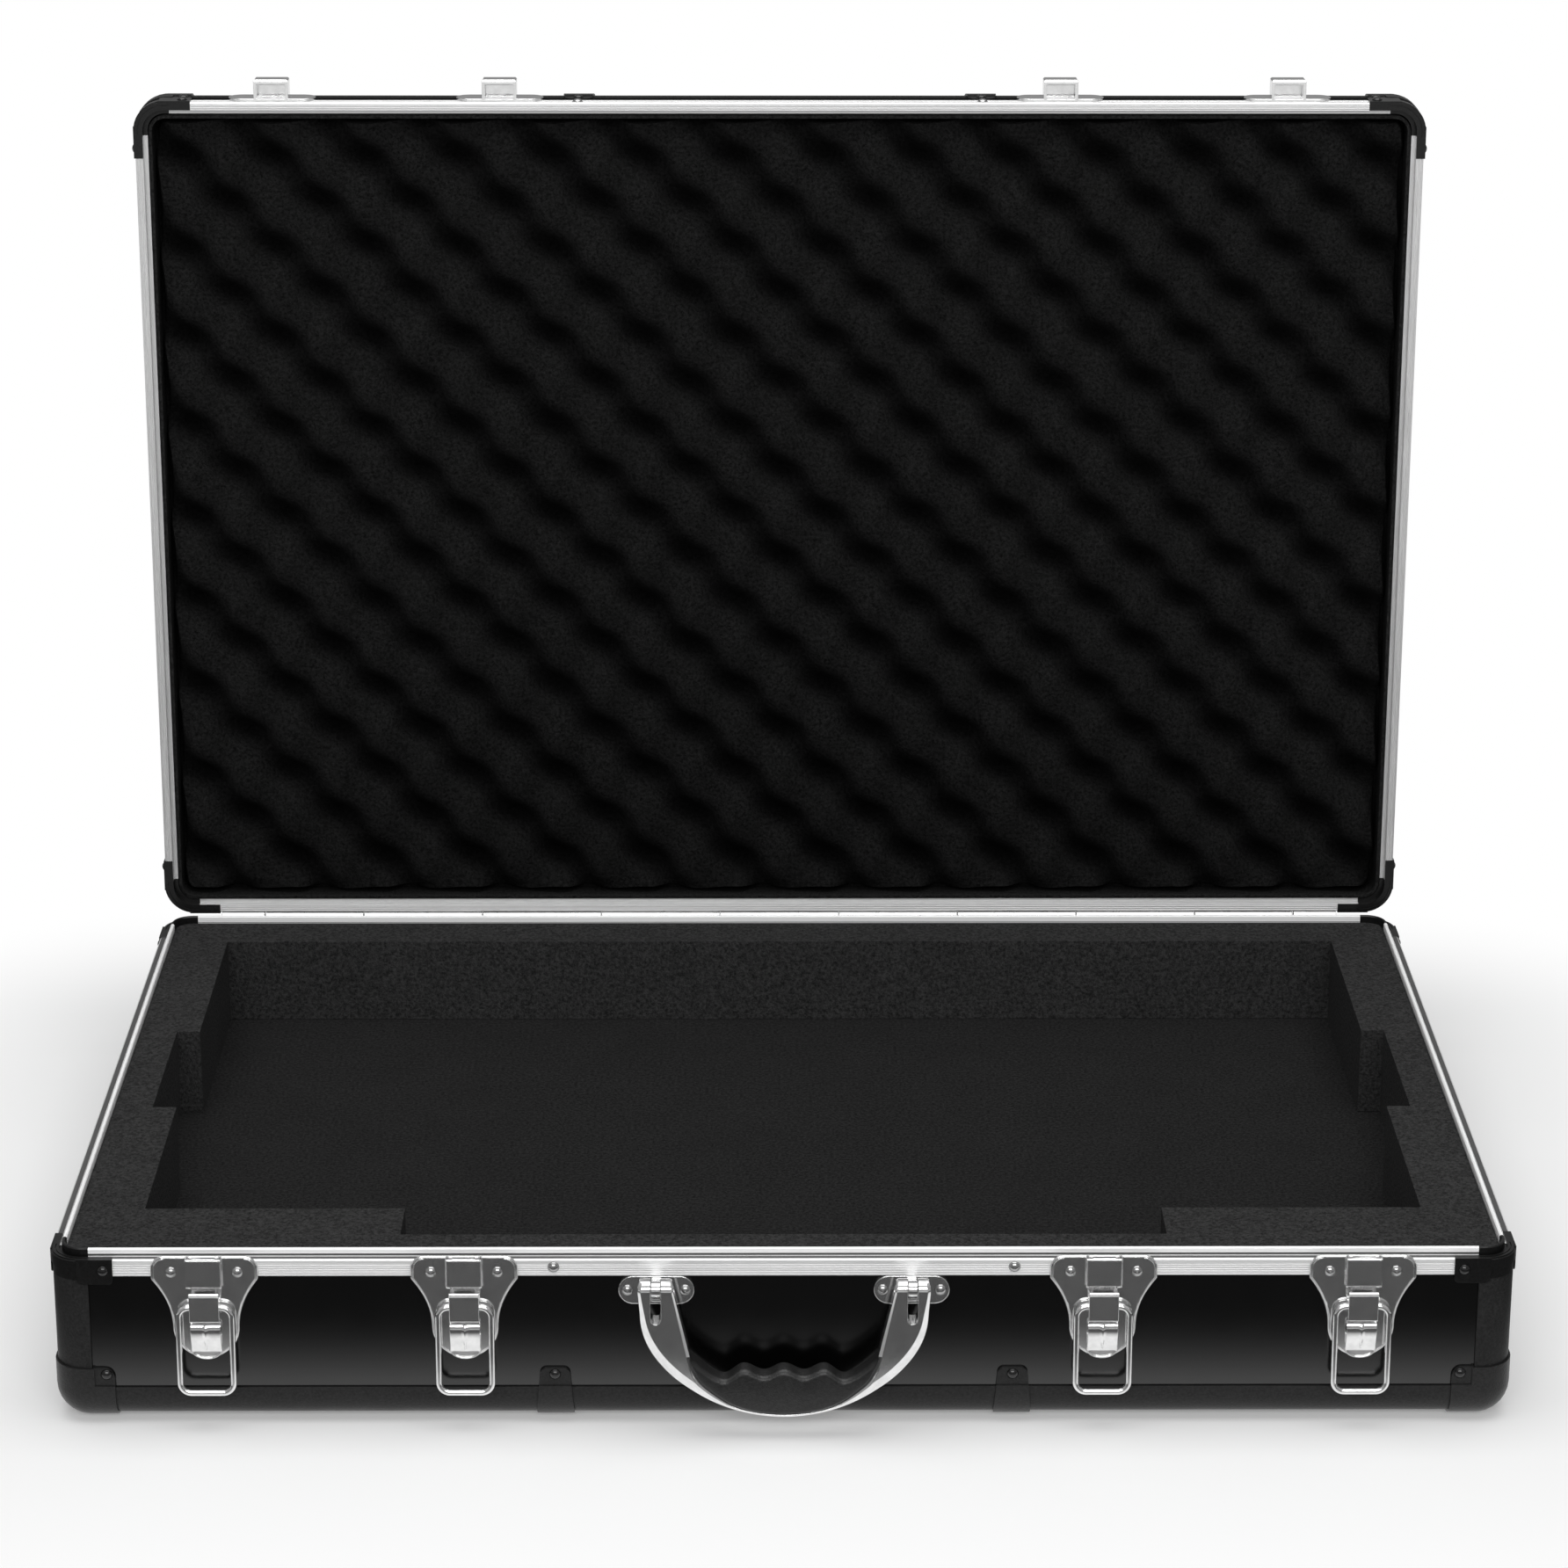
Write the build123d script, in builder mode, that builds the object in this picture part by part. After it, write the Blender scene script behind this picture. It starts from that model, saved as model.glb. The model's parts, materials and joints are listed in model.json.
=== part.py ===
from build123d import *
import math
import os

# Hard case for a controller: foam-lined base, hinged lid, four draw latches, a swinging handle.
# Millimetres, +Z up, front towards -Y. The floor is Z 0 and the origin is under the base's middle.
# The lid is modelled open, resting on its two stops.

# Overall size of the closed shells
WIDTH = 660.0
DEPTH = 437.0
BASE_HEIGHT = 81.0
LID_HEIGHT = 37.0
OPEN_ANGLE = 91.2

# Walls, boards and the rounded outer edges
EDGE_RADIUS = 15.0
SKIN = 1.3
BOARD = 3.5
BOARD_GAP = 0.1
INNER_LEG = 1.5
FLANGE = 2.5
CHAMBER_SPAN = 60.0
CHAMBER_MIDDLE = 225.0
FIELD_STEP = 0.2

# Rims: the aluminium extrusions along the mating edges
RIM_HEIGHT = 8.2
RIM_WEB = 1.8
RIM_CHAMFER = 0.8
BAND = 4.1
TONGUE_FIT = 0.3
TONGUE_HEIGHT = 3.3
RECESS_DEPTH = 4.0
LIP_GROOVE_WIDTH = 1.4
LIP_GROOVE_DEPTH = 0.9
TONGUE_CHAMFER = 0.5
FINE_GROOVES = 5
FINE_PITCH = 1.1
FINE_WIDTH = 0.5
FINE_DEPTH = 0.25
BAND_GROOVES = 3

# Corner fittings over the rim's corners
FITTING_HEIGHT = 10.3
FITTING_REACH = 28.8
FITTING_PROUD = 0.7
FITTING_RIB = 0.5
FITTING_ROUND = 2.2
RING_HEIGHT = 5.6
RING_STEP = 0.55
PLATE_HEIGHT = 12.1
PLATE_IN = 12.5
LEDGE = 1.0
LEDGE_FIT = 0.1

# Ball-shaped corner caps and the edge clips, which are the feet of the base
COVER_PROUD = 1.0
COVER_FIT = 0.05
COVER_REACH = 27.6
COVER_RISE = 27.0
LID_COVER_RISE = 24.0
COVER_LAP = 1.0
LUG_PROUD = 0.3
LUG_ROUND = 5.0
CLIP_TO_LATCH = 40.0
CLIP_WIDTH = 13.4
CLIP_FOOT = 17.8
CLIP_ROUND = 3.2

# Rivet heads
RIVET_RADIUS = 2.65
RIVET_HEIGHT = 1.5
PIN_RIVET_RADIUS = 2.0
PIN_RIVET_HEIGHT = 1.0
FITTING_RIVET_IN = 24.4
FITTING_RIVET_DOWN = 5.4
COVER_RIVET_IN = 23.8
COVER_RIVET_DOWN = 2.9
RIM_RIVET_DOWN = 4.0

# Foam
FOAM_FIT = 0.1
FOAM_TOP = 0.5
CAVITY_DEPTH = 45.0
FOAM_SIDE = 36.5
FOAM_FRONT = 57.0
FOAM_BACK = 34.0
NOTCH_DEEP = 11.5
NOTCH_FRONT = 41.5
NOTCH_BACK = 56.5
STEP_DEEP = 29.0
STEP_SHOULDER = 119.5
FOAM_CORNER = 8.7
LID_FOAM_FIT = 0.5
LINING = 2.0
LINING_DOWN = 2.0
CREST = 6.0
RIDGE_PITCH = 34.0
RIDGE_WIDTH = 28.0
RIDGE_LEVEL = 18.0
RIDGE_MARGIN = 9.0

# Piano hinge and the stops that carry the open lid
PIN_BACK = 2.2
PIN_UP = 0.8
PIN_RADIUS = 1.2
PIN_FIT = 0.05
KNUCKLE_RADIUS = 2.0
KNUCKLE_COUNT = 9
KNUCKLE_LENGTH = 64.0
KNUCKLE_GAP = 0.3
LEAF = 1.0
LEAF_FOOT = 8.0
KNUCKLE_CLEAR = 0.4
LEAF_RIVETS = 6
LEAF_RIVET_IN = 25.0
STOP_WIDTH = 23.0
STOP_GAP = 0.8
LEAF_GAP = 0.5
STOP_REACH = 16.0
STOP_LEG = 1.5
STOP_FIT = 0.03
STOP_HOLE_RADIUS = 3.3

# Draw latches on the base
LATCH_FROM_SIDE = 70.0
LATCH_SPACING = 116.5
LATCH_PLATE = 1.6
LATCH_TOP = 2.0
LATCH_RELIEF = 0.4
LATCH_HALF_TOP = 24.0
LATCH_HALF_NECK = 14.9
LATCH_SHOULDER = 9.0
LATCH_NECK_DOWN = 33.0
LATCH_CORNER = 6.0
LATCH_SIDE_LEAN = (-0.6, -0.8)
LATCH_RIVET_X = 14.9
LATCH_RIVET_DOWN = 5.6
BRIDGE_WIDTH = 16.0
BRIDGE_OUT = 5.5
BRIDGE_WALL = 1.2
BRIDGE_DOWN = 11.9
HOOK_WIDTH = 10.4
HOOK_BACK = 2.2
HOOK_STRIP = 1.2
HOOK_NOSE = 0.7
HOOK_NOSE_HEIGHT = 1.4
PAD_WIDTH = 13.4
PAD_TOP = 14.6
PAD_BOTTOM = 27.6
PAD_CURL = 0.9
BAR_DOWN = 21.5
BAIL_WIRE = 2.8
BAIL_WIDTH = 26.8
BAIL_DROP = 41.2
BAIL_CORNER = 5.0
BAIL_TILT = 3.0
BAIL_FIT = 0.05
TONGUE_WIDTH = 14.0
TONGUE_TOP = 29.4
TONGUE_BOTTOM = 48.2
TONGUE_OUT = 5.4
TONGUE_SHEET = 1.2
TONGUE_CURL = 6.0
STAKE_WIDTH = 3.4
STAKE_LENGTH = 12.5
STAKE_PROUD = 0.8

# Catches on the lid
CATCH_WIDTH = 44.5
CATCH_HEIGHT = 14.0
CATCH_PLATE = 1.5
CATCH_DOWN = 2.6
KEEPER_WIDTH = 17.6
KEEPER_OUT = 11.2
KEEPER_HEIGHT = 10.0
KEEPER_WALL = 1.5
KEEPER_LIP = 1.2

# Handle
HANDLE_X = 57.4
BRACKET_WIDTH = 34.0
BRACKET_HEIGHT = 13.5
BRACKET_PLATE = 1.6
BRACKET_DOWN = 15.2
BRACKET_RIVET_X = 13.0
PIVOT_OUT = 13.0
PIVOT_DOWN = 9.0
PIVOT_RADIUS = 1.5
PIVOT_FIT = 0.05
FIN_WIDTH = 4.1
FIN_RADIUS = 3.8
FIN_ROOT = 11.0
BOW_THICK = 10.0
BOW_HALF_WIDTH = 64.5
BOW_DROP = 50.0
BOW_CENTRE_DOWN = 20.0
ARM_WIDTH = 16.0
ARM_ELBOW = (41.0, -46.0)
BOW_FLOOR = ((35.7, -54.6), (20.6, -65.2))
BOW_FLOOR_DOWN = 68.6
SLOT_WIDTH = 4.7
SLOT_BOTTOM = 24.0
GRIP_THICK = 12.0
GRIP_ROUND = 2.0
GRIP_END = (42.3, -40.0)
GRIP_SHOULDER = (26.0, -51.5)
WAVE_STEP = 9.2
WAVES_EACH_WAY = 2
WAVE_CREST_DOWN = 46.5
WAVE_TROUGH_DOWN = 49.7

# Sizes that follow
DIAGONAL = math.sqrt(1 / 2)
HALF_TURN = 180
MATE = BASE_HEIGHT + COVER_PROUD
BOARD_IN = SKIN + BOARD
WALL = BOARD_IN + INNER_LEG
FLANGE_REACH = EDGE_RADIUS + FLANGE
BOARD_END = EDGE_RADIUS + 2 * BOARD_GAP
RECESS_WEB = RECESS_DEPTH + RIM_WEB
TONGUE_OUTER = BAND + TONGUE_FIT
LIP_GROOVE_START = TONGUE_OUTER - LIP_GROOVE_WIDTH
KNUCKLE_BORE = PIN_RADIUS + PIN_FIT
HOOK_OUT = HOOK_BACK + HOOK_STRIP
BAR_BORE = BAIL_WIRE / 2 + BAIL_FIT
BAR_EYE = BAR_BORE + HOOK_STRIP
BAR_OUT = HOOK_BACK + BAR_EYE
SHELF = RIM_HEIGHT + BOARD_GAP
LATCH_FAR = WIDTH / 2 - LATCH_FROM_SIDE
LATCH_NEAR = LATCH_FAR - LATCH_SPACING
LATCH_X = (-LATCH_FAR, -LATCH_NEAR, LATCH_NEAR, LATCH_FAR)
CLIP_X = LATCH_NEAR - CLIP_TO_LATCH
CAVITY_HALF_WIDTH = WIDTH / 2 - FOAM_SIDE
CAVITY_FRONT = DEPTH / 2 - FOAM_FRONT
CAVITY_BACK = DEPTH / 2 - FOAM_BACK
NOTCH_OUT = CAVITY_HALF_WIDTH + NOTCH_DEEP
STEP_FRONT = CAVITY_FRONT + STEP_DEEP
STEP_HALF_WIDTH = CAVITY_HALF_WIDTH - STEP_SHOULDER
STOP_OUTER = WIDTH / 2 - FITTING_REACH - STOP_GAP
STOP_INNER = STOP_OUTER - STOP_WIDTH
LEAF_HALF = STOP_INNER - LEAF_GAP

# The base counts depth down from the mating plane, and the open lid counts it away from the base
BASE = Plane(origin=(0, 0, MATE), x_dir=(1, 0, 0), z_dir=(0, 0, -1))
PIN = Vector(0, DEPTH / 2 + PIN_BACK, MATE + PIN_UP)
LID_UP = Vector(0, 0, 1).rotate(Axis.X, -OPEN_ANGLE)
LID_SHIFT = Vector(0, -DEPTH / 2 - PIN_BACK, -PIN_UP).rotate(Axis.X, -OPEN_ANGLE)
LID = Plane(origin=PIN + LID_SHIFT, x_dir=(-1, 0, 0), z_dir=LID_UP)


def save(name, part):
    part.label = name
    export_step(part, "parts/" + name + ".step")


def out_of(shell, side):
    """The outward direction of one wall and its distance from the shell's middle."""
    ways = {
        "front": (shell.y_dir, DEPTH / 2),
        "back": (shell.y_dir * -1, DEPTH / 2),
        "left": (Vector(-1, 0, 0), WIDTH / 2),
        "right": (Vector(1, 0, 0), WIDTH / 2),
    }
    return ways[side]


def wall_section(shell, side):
    """Section plane of a wall at its middle: x runs inward, y away from the mating plane."""
    out, reach = out_of(shell, side)
    inward = out * -1
    return Plane(origin=shell.origin + out * reach, x_dir=inward, z_dir=inward.cross(shell.z_dir))


def edge_section(shell, side, height):
    """Section plane of a wall's outer edge: x runs inward, y towards the mating plane."""
    out, reach = out_of(shell, side)
    inward = out * -1
    start = shell.origin + out * reach + shell.z_dir * height
    return Plane(origin=start, x_dir=inward, z_dir=shell.z_dir.cross(inward))


def wall_face(shell, side, along=0.0):
    """Plane on a wall's outer face: z points outward, y away from the mating plane."""
    out, reach = out_of(shell, side)
    x_dir = shell.z_dir.cross(out)
    return Plane(origin=shell.origin + out * reach + x_dir * along, x_dir=x_dir, z_dir=out)


def corner_section(shell, depth):
    """Plan plane at one corner: x and y run inward from the two outer faces."""
    start = shell.origin + shell.x_dir * WIDTH / 2 + shell.y_dir * DEPTH / 2 + shell.z_dir * depth
    return Plane(origin=start, x_dir=shell.x_dir * -1, z_dir=shell.z_dir)


def half_length(side):
    return WIDTH / 2 if side in ("front", "back") else DEPTH / 2


def four_corners(shell):
    """Repeats the current part's one corner at the other three."""
    mirror(about=Plane.YZ)
    mirror(about=Plane(origin=shell.origin, z_dir=shell.y_dir))


# Outlines that several parts share
def fine_grooves():
    """Fine grooves along a rim's outer face, cut from the current sketch."""
    spots = [(FINE_DEPTH / 2, RIM_HEIGHT - (index + 1) * FINE_PITCH) for index in range(FINE_GROOVES)]
    with Locations(*spots):
        Rectangle(FINE_DEPTH, FINE_WIDTH, mode=Mode.SUBTRACT)


def band_grooves():
    """Fine grooves along the lid rim's mating face, cut from the current sketch."""
    spots = [(RIM_CHAMFER + (index + 1 / 2) * FINE_PITCH, FINE_DEPTH / 2) for index in range(BAND_GROOVES)]
    with Locations(*spots):
        Rectangle(FINE_WIDTH, FINE_DEPTH, mode=Mode.SUBTRACT)


def base_rim_outline(outer):
    """Rim of the base from its outer face inward, with the tongue that enters the lid."""
    with BuildSketch() as outline:
        with BuildLine():
            Polyline(
                (outer, RIM_CHAMFER),
                (outer + RIM_CHAMFER, 0),
                (LIP_GROOVE_START, 0),
                (LIP_GROOVE_START, LIP_GROOVE_DEPTH),
                (TONGUE_OUTER, LIP_GROOVE_DEPTH),
                (TONGUE_OUTER, TONGUE_CHAMFER - TONGUE_HEIGHT),
                (TONGUE_OUTER + TONGUE_CHAMFER, -TONGUE_HEIGHT),
                (WALL - TONGUE_CHAMFER, -TONGUE_HEIGHT),
                (WALL, TONGUE_CHAMFER - TONGUE_HEIGHT),
                (WALL, RIM_HEIGHT),
                (BOARD_IN, RIM_HEIGHT),
                (BOARD_IN, RIM_WEB),
                (SKIN, RIM_WEB),
                (SKIN, RIM_HEIGHT),
                (outer, RIM_HEIGHT),
                close=True,
            )
        make_face()
    return outline.sketch


def lid_rim_outline(outer):
    """Rim of the lid from its outer face inward, with the recess for the base's tongue."""
    with BuildSketch() as outline:
        with BuildLine():
            Polyline(
                (outer, RIM_CHAMFER),
                (outer + RIM_CHAMFER, 0),
                (BAND, 0),
                (BAND, RECESS_DEPTH),
                (WALL, RECESS_DEPTH),
                (WALL, RIM_HEIGHT),
                (BOARD_IN, RIM_HEIGHT),
                (BOARD_IN, RECESS_WEB),
                (SKIN, RECESS_WEB),
                (SKIN, RIM_HEIGHT),
                (outer, RIM_HEIGHT),
                close=True,
            )
        make_face()
    return outline.sketch


def strip_outline():
    """Rounded edge extrusion: a curved skin, a channel for each board and a hollow in the curve."""
    centre = EDGE_RADIUS
    outer_mid = centre - EDGE_RADIUS * DIAGONAL
    inner_radius = EDGE_RADIUS - WALL
    inner_mid = centre - inner_radius * DIAGONAL
    board_stop = EDGE_RADIUS + BOARD_GAP
    with BuildSketch() as outline:
        with BuildLine():
            Line((FLANGE_REACH, 0), (centre, 0))
            ThreePointArc((centre, 0), (outer_mid, outer_mid), (0, centre))
            Polyline(
                (0, centre),
                (0, FLANGE_REACH),
                (SKIN, FLANGE_REACH),
                (SKIN, board_stop),
                (BOARD_IN, board_stop),
                (BOARD_IN, FLANGE_REACH),
                (WALL, FLANGE_REACH),
                (WALL, centre),
            )
            ThreePointArc((WALL, centre), (inner_mid, inner_mid), (centre, WALL))
            Polyline(
                (centre, WALL),
                (FLANGE_REACH, WALL),
                (FLANGE_REACH, BOARD_IN),
                (board_stop, BOARD_IN),
                (board_stop, SKIN),
                (FLANGE_REACH, SKIN),
                (FLANGE_REACH, 0),
            )
        make_face()
        with BuildLine():
            start = CHAMBER_MIDDLE - CHAMBER_SPAN / 2
            wide = CenterArc((centre, centre), EDGE_RADIUS - SKIN, start, CHAMBER_SPAN)
            narrow = CenterArc((centre, centre), EDGE_RADIUS - BOARD_IN, start, CHAMBER_SPAN)
            Line(wide @ 0, narrow @ 0)
            Line(wide @ 1, narrow @ 1)
        make_face(mode=Mode.SUBTRACT)
    return outline.sketch


# Shell pieces, the same for the base and the lid
def ledge_depth(shell):
    """How far inward the corner fitting's ledge lies on the rim's mating edge."""
    return LIP_GROOVE_START if shell is BASE else BAND


def make_rim(shell, side, outline):
    """Rim of one wall, with a notch at each end for the corner fitting's ledge."""
    reach = half_length(side) - FLANGE_REACH
    ledge_long = FITTING_REACH - FLANGE_REACH
    with BuildPart() as rim:
        with BuildSketch(wall_section(shell, side)):
            add(outline(0))
            fine_grooves()
            if shell is LID:
                band_grooves()
        extrude(amount=reach, both=True)
        with BuildSketch(wall_face(shell, side)):
            with Locations((ledge_long / 2 - reach, LEDGE / 2), (reach - ledge_long / 2, LEDGE / 2)):
                Rectangle(ledge_long, LEDGE)
        extrude(amount=-ledge_depth(shell), mode=Mode.SUBTRACT)
    return rim.part


def make_wall_board(shell, side, height, web):
    """Board of one wall, from the rim's web to the rounded edge's channel."""
    length = 2 * (half_length(side) - BOARD_END)
    tall = height - BOARD_END - web
    with BuildPart() as board:
        with BuildSketch(wall_face(shell, side).offset(-BOARD_IN)):
            with Locations((0, web + tall / 2)):
                Rectangle(length, tall)
        extrude(amount=BOARD)
    return board.part


def make_flat_board(shell, height):
    """Large board across the bottom or the top, with a slightly raised field inside the flanges."""
    field_inset = COVER_REACH + FIELD_STEP
    with BuildPart() as board:
        with BuildSketch(shell.offset(height - BOARD_IN)):
            Rectangle(WIDTH - 2 * BOARD_END, DEPTH - 2 * BOARD_END)
        extrude(amount=BOARD)
        with BuildSketch(shell.offset(height - SKIN)):
            Rectangle(WIDTH - 2 * field_inset, DEPTH - 2 * field_inset)
        extrude(amount=FIELD_STEP)
    return board.part


def make_corner_fittings(shell, outline):
    """Ribbed ring over the rim's corner with a riveted plate and a ledge along each rim's end."""
    centre = EDGE_RADIUS
    plate_long = FITTING_REACH - PLATE_IN
    skirt = FITTING_HEIGHT - RIM_HEIGHT
    start = corner_section(shell, 0)
    turn = Axis(start.origin + (start.x_dir + start.y_dir) * centre, start.z_dir)
    with BuildSketch() as ring:
        add(outline(-FITTING_PROUD))
        with Locations((FITTING_RIB - FITTING_PROUD, 0), (BAND / 2 - FITTING_RIB, 0)):
            Rectangle(FITTING_RIB, 2 * FITTING_RIB, mode=Mode.SUBTRACT)
        with Locations(((SKIN - FITTING_PROUD) / 2, RIM_HEIGHT + skirt / 2)):
            Rectangle(SKIN + FITTING_PROUD, skirt)
        with Locations((-FITTING_PROUD, (RING_HEIGHT + FITTING_HEIGHT) / 2)):
            Rectangle(2 * RING_STEP, FITTING_HEIGHT - RING_HEIGHT, mode=Mode.SUBTRACT)
    with BuildPart() as fittings:
        for inward, along in ((start.y_dir, start.x_dir), (start.x_dir, start.y_dir)):
            section = Plane(
                origin=start.origin + along * centre,
                x_dir=inward,
                z_dir=inward.cross(start.z_dir),
            )
            with BuildSketch(section):
                add(ring.sketch)
            extrude(amount=FLANGE if section.z_dir.dot(along) > 0 else -FLANGE)
            face = Plane(origin=start.origin, x_dir=along, z_dir=inward * -1)
            down = face.y_dir.dot(start.z_dir)
            with BuildSketch(face):
                with Locations((PLATE_IN + plate_long / 2, down * PLATE_HEIGHT / 2)):
                    RectangleRounded(plate_long, PLATE_HEIGHT, FITTING_ROUND)
                with Locations((PLATE_IN + plate_long / 2, down * PLATE_HEIGHT / 4)):
                    Rectangle(plate_long, PLATE_HEIGHT / 2)
            extrude(amount=FITTING_PROUD)
            with BuildSketch(face):
                with Locations(((FLANGE_REACH + FITTING_REACH) / 2, down * LEDGE / 2)):
                    Rectangle(FITTING_REACH - FLANGE_REACH, LEDGE)
            extrude(amount=LEDGE_FIT - ledge_depth(shell))
        with BuildSketch(section):
            add(ring.sketch)
        revolve(axis=turn, revolution_arc=90)
        four_corners(shell)
    return fittings.part


def make_corner_strips(shell, height):
    with BuildPart() as strips:
        with BuildSketch(corner_section(shell, FITTING_HEIGHT)):
            add(strip_outline())
        extrude(amount=height - FLANGE_REACH - BOARD_GAP - FITTING_HEIGHT)
        four_corners(shell)
    return strips.part


def make_edge_strips(shell, height):
    with BuildPart() as strips:
        for side in ("front", "back", "left", "right"):
            with BuildSketch(edge_section(shell, side, height)):
                add(strip_outline())
            extrude(amount=half_length(side) - FLANGE_REACH - BOARD_GAP, both=True)
    return strips.part


def rounded_case(shell, height, grow):
    """The shell's outer form as one block, grown outward."""
    with BuildPart(shell) as block:
        Box(
            WIDTH + 2 * grow,
            DEPTH + 2 * grow,
            height + grow,
            align=(Align.CENTER, Align.CENTER, Align.MIN),
        )
        rims = block.edges().group_by(Axis(shell.origin, shell.z_dir))[0]
        fillet(block.edges() - rims, EDGE_RADIUS + grow)
    return block.part


def make_corner_caps(shell, height, cover_rise):
    """Ball-shaped caps over the corners, each with a riveted lug on the three boards."""
    outer = rounded_case(shell, height, COVER_PROUD)
    inner = rounded_case(shell, height, COVER_FIT)
    start = corner_section(shell, height)
    faces = (
        (start.x_dir, start.y_dir, start.z_dir * -1, COVER_REACH, cover_rise),
        (start.y_dir, start.x_dir, start.z_dir * -1, COVER_REACH, cover_rise),
        (start.z_dir * -1, start.x_dir, start.y_dir, COVER_REACH, COVER_REACH),
    )
    lap = FLANGE_REACH + COVER_LAP
    foot = FLANGE_REACH + BOARD_GAP
    with BuildPart() as caps:
        with BuildSketch(start.offset(COVER_PROUD)):
            with Locations(((COVER_REACH - COVER_PROUD) / 2, (COVER_REACH - COVER_PROUD) / 2)):
                Rectangle(COVER_REACH + COVER_PROUD, COVER_REACH + COVER_PROUD)
        extrude(amount=-cover_rise - COVER_PROUD)
        add(outer, mode=Mode.INTERSECT)
        add(inner, mode=Mode.SUBTRACT)
        for inward, across, rise, reach, tall in faces:
            face = Plane(origin=start.origin - inward * COVER_PROUD, x_dir=across, z_dir=across.cross(rise))
            turn = 1 if face.z_dir.dot(inward) > 0 else -1
            with BuildSketch(face):
                with Locations(((lap + reach) / 2, (lap + tall) / 2)):
                    Rectangle(reach - lap, tall - lap)
            extrude(amount=turn * (COVER_PROUD + SKIN), mode=Mode.SUBTRACT)
            with BuildSketch(face.offset(turn * (COVER_PROUD - LUG_PROUD))):
                with Locations(((foot + reach) / 2, (foot + tall) / 2)):
                    lug = Rectangle(reach - foot, tall - foot)
                far_corner = lug.vertices().sort_by_distance((0, 0))[-1]
                fillet(far_corner, LUG_ROUND)
            extrude(amount=turn * (SKIN + LUG_PROUD))
        four_corners(shell)
    return caps.part


def clip_outline(cover_rise):
    """Clip that wraps a rounded edge, with a lug on each board."""
    lap = FLANGE_REACH + COVER_LAP
    foot = FLANGE_REACH + BOARD_GAP
    outer_mid = EDGE_RADIUS - (EDGE_RADIUS + COVER_PROUD) * DIAGONAL
    inner_mid = EDGE_RADIUS - (EDGE_RADIUS + COVER_FIT) * DIAGONAL
    with BuildSketch() as outline:
        with BuildLine():
            Polyline(
                (SKIN, cover_rise),
                (-LUG_PROUD, cover_rise),
                (-LUG_PROUD, lap),
                (-COVER_PROUD, lap),
                (-COVER_PROUD, EDGE_RADIUS),
            )
            ThreePointArc((-COVER_PROUD, EDGE_RADIUS), (outer_mid, outer_mid), (EDGE_RADIUS, -COVER_PROUD))
            Polyline(
                (EDGE_RADIUS, -COVER_PROUD),
                (lap, -COVER_PROUD),
                (lap, -LUG_PROUD),
                (COVER_REACH, -LUG_PROUD),
                (COVER_REACH, SKIN),
                (foot, SKIN),
                (foot, -COVER_FIT),
                (EDGE_RADIUS, -COVER_FIT),
            )
            ThreePointArc((EDGE_RADIUS, -COVER_FIT), (inner_mid, inner_mid), (-COVER_FIT, EDGE_RADIUS))
            Polyline((-COVER_FIT, EDGE_RADIUS), (-COVER_FIT, foot), (SKIN, foot), (SKIN, cover_rise))
        make_face()
    return outline.sketch


def clip_shape(reach):
    """Clip seen square on: a rounded lug that widens towards the edge it wraps."""
    lug = CLIP_WIDTH / 2
    foot = CLIP_FOOT / 2
    with BuildSketch() as shape:
        with BuildLine():
            Polyline(
                (-lug, reach),
                (lug, reach),
                (foot, -COVER_PROUD),
                (-foot, -COVER_PROUD),
                close=True,
            )
        make_face()
        fillet(shape.vertices().group_by(Axis.Y)[-1], CLIP_ROUND)
    return shape.sketch


def make_edge_clips(shell, height, cover_rise):
    section = edge_section(shell, "front", height).offset(CLIP_X)
    views = ((section.y_dir, cover_rise), (section.x_dir, COVER_REACH))
    with BuildPart() as clips:
        with BuildSketch(section):
            add(clip_outline(cover_rise))
        extrude(amount=CLIP_FOOT / 2, both=True)
        for rise, reach in views:
            view = Plane(origin=section.origin, x_dir=section.z_dir, z_dir=section.z_dir.cross(rise))
            with BuildSketch(view):
                add(clip_shape(reach))
            extrude(amount=COVER_REACH + COVER_PROUD, both=True, mode=Mode.INTERSECT)
        four_corners(shell)
    return clips.part


# Rivet heads
def make_dome(radius, height):
    """A rivet head standing on the XY plane."""
    curve = (radius**2 + height**2) / (2 * height)
    with BuildPart() as dome:
        with BuildSketch(Plane.XZ):
            with BuildLine():
                Line((0, 0), (radius, 0))
                RadiusArc((radius, 0), (0, height), -curve)
                Line((0, height), (0, 0))
            make_face()
        revolve(axis=Axis.Z)
    return dome.part


def spot(shell, side, along, down, proud):
    """Plane for a rivet head on a wall, at a distance from the mating plane."""
    face = wall_face(shell, side, along)
    start = face.origin + shell.z_dir * down + face.z_dir * proud
    return Plane(origin=start, x_dir=face.x_dir, z_dir=face.z_dir)


def shell_rivet_spots(shell, height, cover_rise):
    """Rivets of the corner fittings, corner caps, edge clips and rims of one shell."""
    spots = []
    for side in ("front", "back", "left", "right"):
        for way in (-1, 1):
            fitting_x = way * (half_length(side) - FITTING_RIVET_IN)
            cap_x = way * (half_length(side) - COVER_RIVET_IN)
            cap_down = height - cover_rise + COVER_RIVET_DOWN
            spots.append(spot(shell, side, fitting_x, FITTING_RIVET_DOWN, FITTING_PROUD))
            spots.append(spot(shell, side, cap_x, cap_down, LUG_PROUD))
    for way in (-1, 1):
        clip_down = height - cover_rise + COVER_RIVET_DOWN
        spots.append(spot(shell, "front", way * CLIP_X, clip_down, LUG_PROUD))
        spots.append(spot(shell, "back", way * CLIP_X, clip_down, LUG_PROUD))
        spots.append(spot(shell, "front", way * CLIP_X, RIM_RIVET_DOWN, 0))
    return spots


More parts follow.
